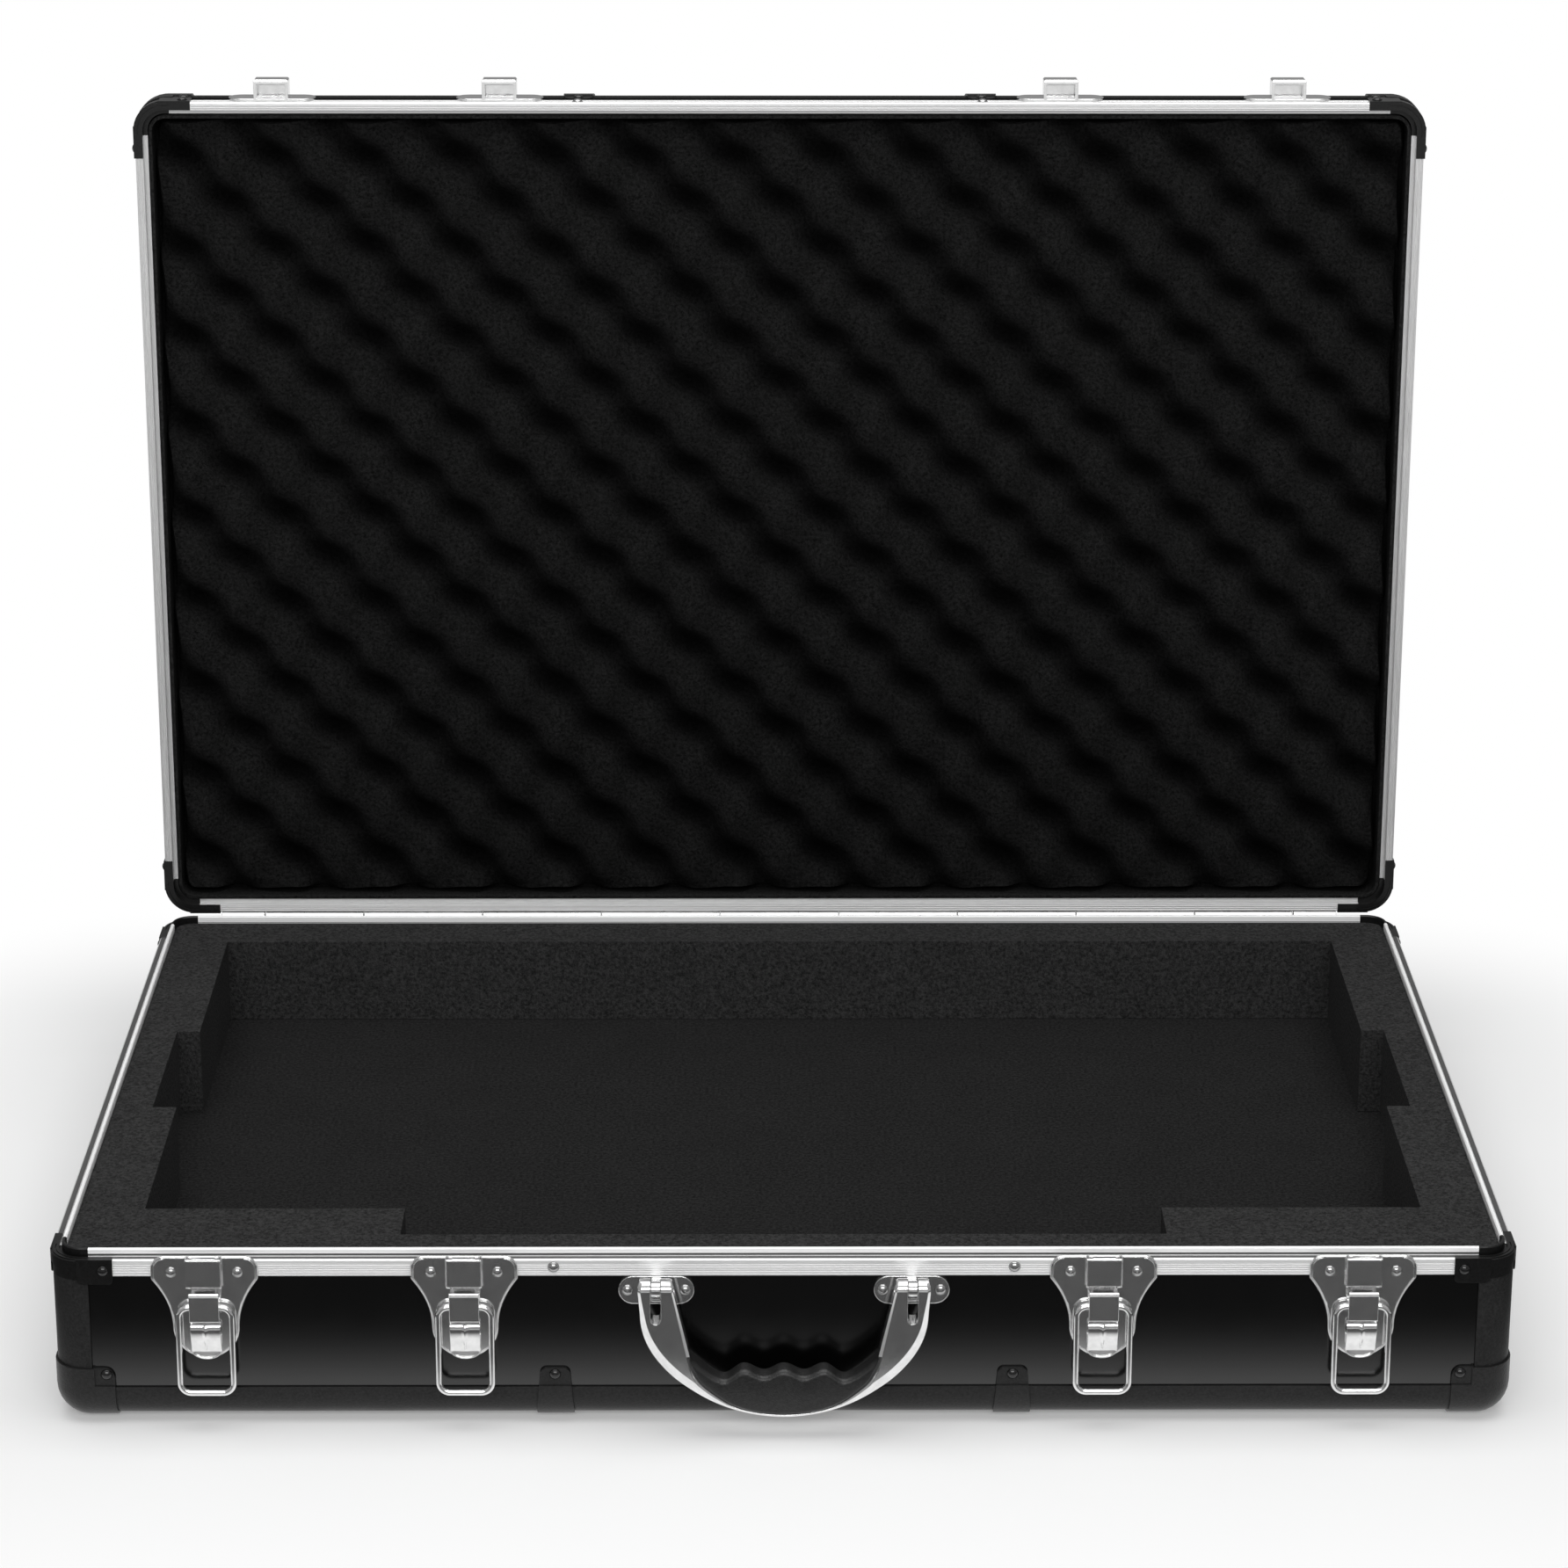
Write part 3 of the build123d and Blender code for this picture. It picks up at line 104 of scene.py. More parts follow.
def place_coordinates(tree, stretch=(1, 1, 1)):
    """Object coordinates in metres, which are the row frame's, stretched along each axis."""
    place = add_node(tree, "ShaderNodeTexCoord")
    mapping = add_node(tree, "ShaderNodeMapping")
    mapping.inputs["Scale"].default_value = stretch
    tree.links.new(place.outputs["Object"], mapping.inputs["Vector"])
    return mapping.outputs["Vector"]


def axes_of(tree, vector):
    node = add_node(tree, "ShaderNodeSeparateXYZ")
    tree.links.new(vector, node.inputs["Vector"])
    return node.outputs


def noise(tree, vector, scale, detail, rough=0.5):
    texture = add_node(tree, "ShaderNodeTexNoise", Scale=scale, Detail=detail, Roughness=rough)
    tree.links.new(vector, texture.inputs["Vector"])
    return texture.outputs["Fac"]


def ramp(tree, factor, stops):
    """Greys by the factor, from pairs of a position and a tone."""
    node = add_node(tree, "ShaderNodeValToRGB")
    while len(node.color_ramp.elements) < len(stops):
        node.color_ramp.elements.new(0.5)
    for element, (position, tone) in zip(node.color_ramp.elements, stops):
        element.position = position
        element.color = (*grey(tone), 1)
    tree.links.new(factor, node.inputs["Fac"])
    return node.outputs["Color"]


def spread(tree, factor, low, high):
    """The factor mapped to a range of values."""
    node = add_node(tree, "ShaderNodeMapRange")
    node.inputs["To Min"].default_value = low
    node.inputs["To Max"].default_value = high
    tree.links.new(factor, node.inputs["Value"])
    return node.outputs["Result"]


def share_of(tree, value, start, end):
    """Where the value lies between a start and an end, from 0 to 1."""
    node = add_node(tree, "ShaderNodeMapRange")
    node.inputs["From Min"].default_value = start
    node.inputs["From Max"].default_value = end
    tree.links.new(value, node.inputs["Value"])
    return node.outputs["Result"]


def calculated(tree, operation, first, second=0.0):
    """A Math step on a value and either another value or a plain number."""
    node = add_node(tree, "ShaderNodeMath", operation=operation)
    tree.links.new(first, node.inputs[0])
    if isinstance(second, float):
        node.inputs[1].default_value = second
    else:
        tree.links.new(second, node.inputs[1])
    return node.outputs["Value"]


def vector_step(tree, operation, vector, other=None):
    """A Vector Math step on a vector, with its fixed second vector where it has one."""
    node = add_node(tree, "ShaderNodeVectorMath", operation=operation)
    tree.links.new(vector, node.inputs[0])
    if other is not None:
        node.inputs[1].default_value = other
    return node.outputs


def scaled(tree, colour, factor):
    """A colour times a value."""
    node = add_node(tree, "ShaderNodeVectorMath", operation="SCALE")
    tree.links.new(colour, node.inputs[0])
    tree.links.new(factor, node.inputs["Scale"])
    return node.outputs["Vector"]


def bump(tree, shader, height, distance, strength, after=None):
    """Relief on the shader, on top of another normal where one is given."""
    node = add_node(tree, "ShaderNodeBump", Distance=distance, Strength=strength)
    tree.links.new(height, node.inputs["Height"])
    if after is not None:
        tree.links.new(after, node.inputs["Normal"])
    tree.links.new(node.outputs["Normal"], shader.inputs["Normal"])


# Sizes of the lid's foam: crests and troughs are depths below the mating face
FOAM_FIT = 0.5 * MM
FOAM_CORNER = 8.7 * MM
FOAM_BACK = LID_HEIGHT - WALL
CRATE_PITCH = 47.5 * MM
CRATE_CREST = 6.0 * MM
CRATE_TROUGH = 21.0 * MM
CRATE_STEP = 2.2 * MM
CRATE_SWAY = 1.3 * MM
SWAY_PITCHES_X = 3.7
SWAY_PITCHES_Y = 2.9
CRATE_WINDING = 2.6 * MM
VALLEY_SHARPNESS = 2.6
PIT_SHARE = 0.38
DIMPLE_SHARE = 0.15
LINING = 2.0 * MM
LINING_DOWN = 2.0 * MM
LINING_ROUND = 0.4 * MM
SHEET_EDGE = 4.6 * MM
SHEET_DROP = 1.2 * MM
SHEET_WAVE = 0.9 * MM
SHEET_BAND = 0.9 * MM
GAP_DEPTH = 17 * MM
LINE_TOLERANCE = 0.1 * MM

# Painted shade on the lid's foam: its tone from the mating face down to its troughs, darker in the valleys
VALLEY_SHADE_TONES = ((0.15, 1.0), (0.25, 0.62), (0.55, 0.42), (1.0, 0.10))
VALLEY_SHADE_GAIN = 2.0

# Base rims: the stretch of height where their tone changes, and tones from the ribbed side up to the tongue,
# with painted shade on the side's top and on the ledge
TONE_BELOW = 4 * MM
TONE_ABOVE = 1 * MM
SIDE_TONE = 0.95
UPPER_SHADE_TONE = 0.9
LEDGE_SHADE_TONE = 0.12
TONGUE_TONE = 1.0
SIDE_METALLIC = 0.5
TONGUE_METALLIC = 0.04
# Where the painted shade on the ledge ends, higher on the front rim
LEDGE_TOP = 0.81
FRONT_LEDGE_TOP = 0.96
TONGUE_STEP = 0.02


# Materials
def foam_material(name, dark, light, depth_from=None):
    """Open-cell foam: fine cells and soft mottling, with painted shade darker down in the valleys of the
    lid's sheet.
    """
    material, tree, shader = new_material(name, grey(light), roughness=1.0)
    place = place_coordinates(tree)
    cells = noise(tree, place, scale=620, detail=3, rough=0.75)
    colour = ramp(tree, cells, ((0.34, dark), (0.66, light)))
    tone = spread(tree, noise(tree, place, scale=30, detail=3), low=0.86, high=1.14)
    if depth_from is not None:
        # Painted shade: darker down in the valleys and lighter on the crests of the lid's sheet
        shifted = vector_step(tree, "SUBTRACT", place, depth_from)["Vector"]
        depth = vector_step(tree, "DOT_PRODUCT", shifted, lid_inward)["Value"]
        valley = ramp(tree, share_of(tree, depth, 0, CRATE_TROUGH), VALLEY_SHADE_TONES)
        tone = calculated(tree, "MULTIPLY", tone, calculated(tree, "MULTIPLY", valley, VALLEY_SHADE_GAIN))
    tree.links.new(scaled(tree, colour, tone), shader.inputs["Base Color"])
    shader.inputs["Specular IOR Level"].default_value = 0.05
    bump(tree, shader, cells, distance=0.0009, strength=0.9)
    return material


def plastic_material(name, value, roughness, grain=1200, depth=0.00012, specular=0.4):
    """Moulded or coated black plastic with a fine leather grain."""
    material, tree, shader = new_material(name, grey(value), roughness)
    place = place_coordinates(tree)
    cells = add_node(tree, "ShaderNodeTexVoronoi", Scale=grain)
    tree.links.new(place, cells.inputs["Vector"])
    fine = noise(tree, place, scale=900, detail=2)
    clouds = noise(tree, place, scale=60, detail=4)
    colour = ramp(tree, fine, ((0.3, value * 0.65), (0.7, value * 1.4)))
    mottled = scaled(tree, colour, spread(tree, clouds, low=0.85, high=1.15))
    tree.links.new(mottled, shader.inputs["Base Color"])
    haze = spread(tree, clouds, low=roughness - 0.06, high=roughness + 0.08)
    tree.links.new(haze, shader.inputs["Roughness"])
    shader.inputs["Specular IOR Level"].default_value = specular
    bump(tree, shader, cells.outputs["Distance"], distance=depth, strength=0.6)
    return material


def laminate_material(name):
    """Glossy black panel laminate with a very slight ripple."""
    material, tree, shader = new_material(name, grey(0.0012), roughness=0.16)
    place = place_coordinates(tree)
    shader.inputs["Specular IOR Level"].default_value = 0.75
    haze = spread(tree, noise(tree, place, scale=90, detail=3), low=0.12, high=0.2)
    tree.links.new(haze, shader.inputs["Roughness"])
    bump(tree, shader, noise(tree, place, scale=1500, detail=2), distance=0.00003, strength=0.35)
    return material


def base_rim_tones(tree, shader, colour, ledge_top):
    """The base rim's colour by height: bright ribbed side, painted shade on its top and on the ledge, and
    whiter tongue.
    """
    shader.inputs["Specular IOR Level"].default_value = 0.3
    height = axes_of(tree, place_coordinates(tree))["Z"]
    level = share_of(tree, height, MATE - TONE_BELOW, MATE + TONE_ABOVE)
    tongue_from = ledge_top + TONGUE_STEP
    # Painted shade: a darker top of the ribbed side under the tongue, and a dark ledge
    tones_and_shade = (
        (0.42, SIDE_TONE), (0.45, UPPER_SHADE_TONE), (0.776, UPPER_SHADE_TONE), (0.785, LEDGE_SHADE_TONE),
        (ledge_top, LEDGE_SHADE_TONE), (tongue_from, TONGUE_TONE),
    )
    shine = ((ledge_top, SIDE_METALLIC), (tongue_from, TONGUE_METALLIC))
    tree.links.new(ramp(tree, level, shine), shader.inputs["Metallic"])
    product = add_node(tree, "ShaderNodeVectorMath", operation="MULTIPLY")
    tree.links.new(colour, product.inputs[0])
    tree.links.new(ramp(tree, level, tones_and_shade), product.inputs[1])
    return product.outputs["Vector"]


def aluminium_material(name, stretch, value, ledge_top=None):
    """Satin extrusion with drawing lines along it, and with the base rims' tones and painted shade where a
    ledge is given.
    """
    material, tree, shader = new_material(name, (value, value, value * 0.99), roughness=0.4, metallic=0.55)
    place = place_coordinates(tree, stretch)
    lines = noise(tree, place, scale=2600, detail=3, rough=0.6)
    colour = ramp(tree, lines, ((0.3, value * 0.86), (0.7, value * 1.12)))
    if ledge_top is not None:
        colour = base_rim_tones(tree, shader, colour, ledge_top)
    tree.links.new(colour, shader.inputs["Base Color"])
    tree.links.new(spread(tree, lines, low=0.33, high=0.5), shader.inputs["Roughness"])
    bump(tree, shader, lines, distance=0.00003, strength=0.4)
    return material


def metal_material(name, value, low, high, edge=0.7 * MM):
    """Plated or polished metal with faint smudges, a haze from low to high and softened edges."""
    material, tree, shader = new_material(name, (value, value, value * 1.01), low, metallic=0.95)
    place = place_coordinates(tree)
    smudges = noise(tree, place, scale=220, detail=3)
    tree.links.new(spread(tree, smudges, low, high), shader.inputs["Roughness"])
    colour = ramp(tree, smudges, ((0.3, value * 0.92), (0.7, value * 1.05)))
    tree.links.new(colour, shader.inputs["Base Color"])
    soft = add_node(tree, "ShaderNodeBevel", samples=6)
    soft.inputs["Radius"].default_value = edge
    ripple = noise(tree, place, scale=90, detail=2)
    bump(tree, shader, ripple, distance=0.0001, strength=0.12, after=soft.outputs["Normal"])
    return material


def rivet_material(name, steel_reach, steel_low, steel_high):
    """Polished rivets: steel on the rims, latches and hinge, black on the corner fittings, caps and clips."""
    material, tree, shader = new_material(name, grey(0.4), roughness=0.14, metallic=0.9)
    place = place_coordinates(tree)
    axes = axes_of(tree, place)
    steel = calculated(tree, "LESS_THAN", calculated(tree, "ABSOLUTE", axes["X"]), steel_reach)
    for operation, limit, axis in (("GREATER_THAN", steel_low, "Z"), ("LESS_THAN", steel_high, "Y")):
        steel = calculated(tree, "MULTIPLY", steel, calculated(tree, operation, axes[axis], limit))
    smudges = noise(tree, place, scale=400, detail=3)
    mixed = add_node(tree, "ShaderNodeMixRGB")
    tree.links.new(steel, mixed.inputs["Fac"])
    tree.links.new(ramp(tree, smudges, ((0.3, 0.006), (0.7, 0.012))), mixed.inputs["Color1"])
    tree.links.new(ramp(tree, smudges, ((0.3, 0.36), (0.7, 0.46))), mixed.inputs["Color2"])
    tree.links.new(mixed.outputs["Color"], shader.inputs["Base Color"])
    tree.links.new(spread(tree, steel, low=0.0, high=0.9), shader.inputs["Metallic"])
    tree.links.new(spread(tree, smudges, low=0.12, high=0.22), shader.inputs["Roughness"])
    return material


LINES_X = (0.002, 1, 1)
LINES_Y = (1, 0.002, 1)
LINES_Z = (1, 1, 0.002)

foam_base = foam_material("foam_base", dark=0.013, light=0.048)
foam_floor = foam_material("foam_floor", dark=0.008, light=0.026)
foam_lid = foam_material("foam_lid", dark=0.0030, light=0.0125, depth_from=lid_origin)
edge_plastic = plastic_material("edge_plastic", 0.013, 0.48, specular=0.2)
cap_plastic = plastic_material("cap_plastic", 0.012, 0.42, specular=0.25)
fitting_plastic = plastic_material("fitting_plastic", 0.006, 0.28, grain=700, depth=0.00006, specular=0.3)
grip_plastic = plastic_material("grip_plastic", 0.012, 0.36, grain=1500)
laminate = laminate_material("laminate")
aluminium_x = aluminium_material("aluminium_x", LINES_X, value=0.93, ledge_top=LEDGE_TOP)
aluminium_front = aluminium_material("aluminium_front", LINES_X, value=0.93, ledge_top=FRONT_LEDGE_TOP)
aluminium_y = aluminium_material("aluminium_y", LINES_Y, value=0.93, ledge_top=LEDGE_TOP)
aluminium_lid_x = aluminium_material("aluminium_lid_x", LINES_X, value=0.70)
aluminium_lid_z = aluminium_material("aluminium_lid_z", LINES_Z, value=0.70)
chrome = metal_material("chrome", 0.80, low=0.05, high=0.11)
chrome_bow = metal_material("chrome_bow", 0.80, low=0.07, high=0.14, edge=0.5 * MM)
chrome_plate = metal_material("chrome_plate", 0.80, low=0.05, high=0.11, edge=1.5 * MM)
base_rivet = rivet_material("base_rivet", steel_reach=0.29, steel_low=0.045, steel_high=1.0)
lid_rivet = rivet_material("lid_rivet", steel_reach=0.29, steel_low=0.0, steel_high=0.235)
hinge_metal = metal_material("hinge_metal", 0.62, low=0.22, high=0.36)


def material_of(name):
    if name == "base_rim_front":
        return aluminium_front
    if "rim" in name:
        along_x = name.endswith(("front", "back"))
        if name.startswith("base"):
            return aluminium_x if along_x else aluminium_y
        return aluminium_lid_x if along_x else aluminium_lid_z
    if name.endswith("_panel"):
        return laminate
    if "corner_caps" in name or "edge_clips" in name:
        return cap_plastic
    if "corner_fittings" in name:
        return fitting_plastic
    if "strips" in name:
        return edge_plastic
    if "rivets" in name:
        return lid_rivet if name.startswith("lid") else base_rivet
    if "foam" in name:
        return foam_base
    if name.startswith("hinge") or name == "lid_stops":
        return hinge_metal
    if name == "handle_grip":
        return grip_plastic
    return chrome_plate if name.endswith("_plate") else chrome


# Carried-over nodes: a material each, and small rounded edges in millimetres that catch the light
BEVELS = {
    "panel": 0.3, "rim": 0.12, "corner_caps": 0.35, "corner_fittings": 0.2, "edge_clips": 0.3, "plate": 0.45,
    "hook": 0.25, "catch": 0.35, "bracket": 0.35, "stops": 0.3, "leaf": 0.15, "strips": 0.2,
}
WELD_REACH = 0.002 * MM


def add_bevel(piece, width, angle, segments=2):
    """Rounds the edges that turn by more than an angle in degrees."""
    bevel = piece.modifiers.new("bevel", "BEVEL")
    bevel.width = width
    bevel.segments = segments
    bevel.limit_method = "ANGLE"
    bevel.angle_limit = math.radians(angle)
    return bevel


def dress_node(name, piece):
    piece.data.materials.clear()
    piece.data.materials.append(material_of(name))
    piece.data.shade_smooth()
    weld = piece.modifiers.new("weld", "WELD")
    weld.merge_threshold = WELD_REACH
    width = next((size for key, size in BEVELS.items() if key in name), 0)
    if width:
        add_bevel(piece, width * MM, angle=38)
        piece.modifiers.new("normals", "WEIGHTED_NORMAL")


for node_name, node_object in nodes.items():
    dress_node(node_name, node_object)


# Own pieces
def finish_piece(piece, body, material, slot, *replaced, sharp=50):
    piece.data.materials.clear()
    piece.data.materials.append(material)
    piece.data.shade_smooth()
    piece.data.set_sharp_from_angle(angle=math.radians(sharp))
    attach(piece, body)
    if replaced:
        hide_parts(*replaced)


def new_piece(name, mesh):
    piece = bpy.data.objects.new(name, mesh)
    scene.collection.objects.link(piece)
    return piece


def mesh_piece(name, vertices, faces):
    mesh = bpy.data.meshes.new(name)
    mesh.from_pydata([tuple(v) for v in vertices], [], [tuple(int(i) for i in f) for f in faces])
    mesh.validate()
    return new_piece(name, mesh)


def edited_piece(name, edited):
    """Piece of an edit mesh, which it uses up."""
    mesh = bpy.data.meshes.new(name)
    edited.to_mesh(mesh)
    edited.free()
    return new_piece(name, mesh)


def face_outward(piece, merge=0.0):
    """Turns a piece's faces outward, after merging points that lie closer than a distance."""
    edited = bmesh.new()
    edited.from_mesh(piece.data)
    if merge:
        bmesh.ops.remove_doubles(edited, verts=edited.verts, dist=merge)
    bmesh.ops.recalc_face_normals(edited, faces=edited.faces)
    edited.to_mesh(piece.data)
    edited.free()


def joined_piece(name, parts):
    """One piece of several parts, which it uses up."""
    joined = bmesh.new()
    for part in parts:
        joined.from_mesh(part.data)
        bpy.data.objects.remove(part)
    return edited_piece(name, joined)


def arc(centre, radius, start, end, steps):
    """Points on a circle between two angles in degrees."""
    points = []
    for step in range(steps + 1):
        angle = math.radians(start + (end - start) * step / steps)
        points.append((centre[0] + radius * math.cos(angle), centre[1] + radius * math.sin(angle)))
    return points


# Grid lines of the lid's sheet at each side: the lining's rounded edge, the gap and the sheet's cut edge
SIDE_LINES = (
    0, LINING_ROUND, LINING - 0.3 * MM, LINING, SHEET_EDGE - 0.8 * MM, SHEET_EDGE, SHEET_EDGE + 0.7 * MM,
)
SIDE_END = SHEET_EDGE + 1.4 * MM


# Lid foam
def crate_depth(x, y):
    """Depth of the foam's face: broad diagonal ridges with narrow winding valleys and long pits in them."""
    turn = 2 * math.pi / CRATE_PITCH
    sway = CRATE_SWAY * np.sin(turn * x / SWAY_PITCHES_X) * np.cos(turn * y / SWAY_PITCHES_Y)
    winding = CRATE_WINDING * np.sin(turn * (x - y))
    valley = 0.5 - 0.5 * np.cos(turn * (x + y + sway + winding))
    pit = 0.5 - 0.5 * np.cos(turn * (x - y - sway))
    groove = valley**VALLEY_SHARPNESS
    share = groove * (1 - PIT_SHARE + PIT_SHARE * pit) + DIMPLE_SHARE * pit * (1 - groove)
    return CRATE_CREST + (CRATE_TROUGH - CRATE_CREST) * share


def grid_lines(half):
    """Grid lines from one side to the other, closer together at the lining and the gap beside it."""
    inner = half - SIDE_END
    middle = np.linspace(-inner, inner, int(2 * inner / CRATE_STEP) + 1)
    side = np.array(SIDE_LINES) - half
    return np.concatenate([side, middle, -side[::-1]])


def wavy_edge(along, edge):
    """How far the cut edge of the sheet swings out over the gap."""
    near = (edge > SHEET_EDGE - SHEET_BAND) & (edge < SHEET_EDGE + SHEET_BAND)
    return np.where(near, SHEET_WAVE * (1 + np.cos(2 * math.pi * along / CRATE_PITCH)), 0)


def round_corners(x, y, half_x, half_y, radius):
    """Points of a rectangle moved so that its corners become quarter circles."""
    over_x = np.abs(x) - (half_x - radius)
    over_y = np.abs(y) - (half_y - radius)
    corner = (over_x > 0) & (over_y > 0)
    squeeze = np.maximum(over_x, over_y) / np.where(corner, np.hypot(over_x, over_y), 1)
    new_x = np.sign(x) * (half_x - radius + over_x * squeeze)
    new_y = np.sign(y) * (half_y - radius + over_y * squeeze)
    return np.where(corner, new_x, x), np.where(corner, new_y, y)


def lid_points(x, y, depth):
    """Places in the row frame of points on the lid's plane, some depth into the lid."""
    flat = np.stack([x.ravel(), np.zeros(x.size), np.zeros(x.size)], 1)
    across = y.ravel()[:, None] * np.array(lid_along)
    inward = depth.ravel()[:, None] * np.array(lid_inward)
    return np.array(lid_origin) + flat + across + inward


def slab_faces(rows, columns):
    """Faces of a grid of points, of the same grid behind it, and of the band that joins them."""
    row_length = columns + 1
    total = row_length * (rows + 1)
    faces = []
    for row in range(rows):
        for column in range(columns):
            a = row * row_length + column
            b, c, d = a + 1, a + 1 + row_length, a + row_length
            faces.append((a, b, c, d))
            faces.append((a + total, d + total, c + total, b + total))
    around = list(range(columns))
    around += [row * row_length + columns for row in range(rows)]
    around += [rows * row_length + column for column in range(columns, 0, -1)]
    around += [row * row_length for row in range(rows, 0, -1)]
    for first, second in zip(around, around[1:] + around[:1]):
        faces.append((first, first + total, second + total, second))
    return faces


def build_lid_foam():
    """Egg-crate sheet with the lining that stands round it."""
    half_x = WIDTH / 2 - WALL - FOAM_FIT
    half_y = DEPTH / 2 - WALL - FOAM_FIT
    x, y = np.meshgrid(grid_lines(half_x), grid_lines(half_y))
    depth = crate_depth(x, y)
    edge_x = half_x - np.abs(x)
    edge_y = half_y - np.abs(y)
    edge = np.minimum(edge_x, edge_y)
    depth = np.where(edge < SHEET_EDGE + LINE_TOLERANCE, depth + SHEET_DROP, depth)
    depth = np.where(edge < SHEET_EDGE - LINE_TOLERANCE, GAP_DEPTH, depth)
    rounding = np.where(edge < LINE_TOLERANCE, LINING_ROUND, 0)
    depth = np.where(edge < LINING - LINE_TOLERANCE, LINING_DOWN + rounding, depth)
    wavy_x = x + np.sign(x) * wavy_edge(y, edge_x)
    wavy_y = y + np.sign(y) * wavy_edge(x, edge_y)
    round_x, round_y = round_corners(wavy_x, wavy_y, half_x, half_y, FOAM_CORNER)
    top = lid_points(round_x, round_y, depth)
    back = lid_points(round_x, round_y, np.full(x.shape, FOAM_BACK))
    rows, columns = x.shape[0] - 1, x.shape[1] - 1
    piece = mesh_piece("lid_foam_crate", np.concatenate([top, back]), slab_faces(rows, columns))
    finish_piece(piece, "lid", foam_lid, "foam_grey", "lid_foam")


build_lid_foam()

# Base foam: the cavity's half width, front and back, then the same of its notches, then its front step
CAVITY_DEPTH = 45 * MM
FOAM_DOWN = 0.5 * MM
FOAM_INSET = WALL + 0.1 * MM
FOAM_ROUND = 1.2 * MM
CAVITY = (293.5 * MM, 161.5 * MM, 184.5 * MM)
NOTCH = (305 * MM, 41.5 * MM, 56.5 * MM)
STEP = (174 * MM, 190.5 * MM)


def cavity_outline():
    """Corners of the cavity, counter-clockwise from the front step's right end."""
    half, front, back = CAVITY
    notch, notch_front, notch_back = NOTCH
    step, step_front = STEP
    right = [
        (step, -step_front), (step, -front), (half, -front), (half, -notch_front), (notch, -notch_front),
        (notch, notch_back), (half, notch_back), (half, back),
    ]
    left = [(-x, y) for x, y in reversed(right)]
    return right + left


def foam_outline():
    """The tray's inside with round corners, counter-clockwise from its front right corner."""
    over_x = WIDTH / 2 - FOAM_INSET - FOAM_CORNER
    over_y = DEPTH / 2 - FOAM_INSET - FOAM_CORNER
    points = []
    for turn, (side_x, side_y) in enumerate(((1, -1), (1, 1), (-1, 1), (-1, -1))):
        start = 90 * turn - 90
        points += arc((side_x * over_x, side_y * over_y), FOAM_CORNER, start, start + 90, 6)
    return points


def push_down(edited, drop):
    """Closes an edit mesh's flat top into a solid that reaches down by a distance."""
    grown = bmesh.ops.extrude_face_region(edited, geom=list(edited.faces))
    moved = [item for item in grown["geom"] if isinstance(item, bmesh.types.BMVert)]
    bmesh.ops.translate(edited, verts=moved, vec=(0, 0, -drop))
    bmesh.ops.recalc_face_normals(edited, faces=edited.faces)


def build_base_foam():
    """The block with its cavity, its cut edges slightly rounded."""
    edited = bmesh.new()
    loops = []
    for outline in (foam_outline(), cavity_outline()):
        points = [edited.verts.new((x, y, MATE - FOAM_DOWN)) for x, y in outline]
        loops += [edited.edges.new(pair) for pair in zip(points, points[1:] + points[:1])]
    bmesh.ops.triangle_fill(edited, edges=loops, use_beauty=True, use_dissolve=False)
    push_down(edited, CAVITY_DEPTH - FOAM_DOWN)
    piece = edited_piece("base_foam_block", edited)
    finish_piece(piece, "base", foam_base, "foam_grey", "base_foam")
    add_bevel(piece, FOAM_ROUND, angle=50, segments=3).harden_normals = True


def build_foam_floor():
    edited = bmesh.new()
    edited.faces.new([edited.verts.new((x, y, MATE - CAVITY_DEPTH)) for x, y in foam_outline()])
    push_down(edited, BASE_HEIGHT - WALL - CAVITY_DEPTH)
    piece = edited_piece("base_foam_sheet", edited)
    finish_piece(piece, "base", foam_floor, "foam_grey", "base_foam_floor")


build_base_foam()
build_foam_floor()


# Bars and sheets of the handle and the latches, drawn in the front view with y up from the mating face
def smooth_line(points, count):
    """A curve through points, by Catmull-Rom spans, each divided evenly."""
    ends = [2 * Vector(points[0]) - Vector(points[1]), 2 * Vector(points[-1]) - Vector(points[-2])]
    full = [ends[0]] + [Vector(point) for point in points] + [ends[1]]
    line = []
    for index in range(1, len(full) - 2):
        a, b, c, d = full[index - 1:index + 3]
        for step in range(count):
            t = step / count
            bend = (2 * a - 5 * b + 4 * c - d) * t**2
            twist = (3 * b - a - 3 * c + d) * t**3
            line.append(0.5 * (2 * b + (c - a) * t + bend + twist))
    line.append(Vector(points[-1]))
    return line


def resample(line, count):
    """Evenly spaced points along a line."""
    reach = [0]
    for first, second in zip(line, line[1:]):
        reach.append(reach[-1] + (second - first).length)
    wanted = np.linspace(0, reach[-1], count)
    xs = np.interp(wanted, reach, [point.x for point in line])
    ys = np.interp(wanted, reach, [point.y for point in line])
    return [Vector((x, y)) for x, y in zip(xs, ys)]


def rounded_section(width, half_thick, outer_radius, inner_radius):
    """Section of a bar with round edges: (across from the outer edge, out from the middle)."""
    outer_radius = min(outer_radius, half_thick, width * 0.8)
    inner_radius = min(inner_radius, half_thick, width - outer_radius)
    inner_across = width - inner_radius
    corners = (
        (outer_radius, half_thick - outer_radius, outer_radius, 180, 8),
        (inner_across, half_thick - inner_radius, inner_radius, 90, 4),
        (inner_across, inner_radius - half_thick, inner_radius, 0, 4),
        (outer_radius, outer_radius - half_thick, outer_radius, -90, 8),
    )
    section = []
    for across, out, radius, start, steps in corners:
        section += arc((across, out), radius, start, start - 90, steps)
    return section


# Chamfers: their greatest shares of the bar's width and half thickness, and the outer one's depth to width
OUTER_WIDEST = 0.74
INNER_WIDEST = 0.22
OUTER_DEEPEST = 0.9
INNER_DEEPEST = 0.86
OUTER_LEAN = 0.8


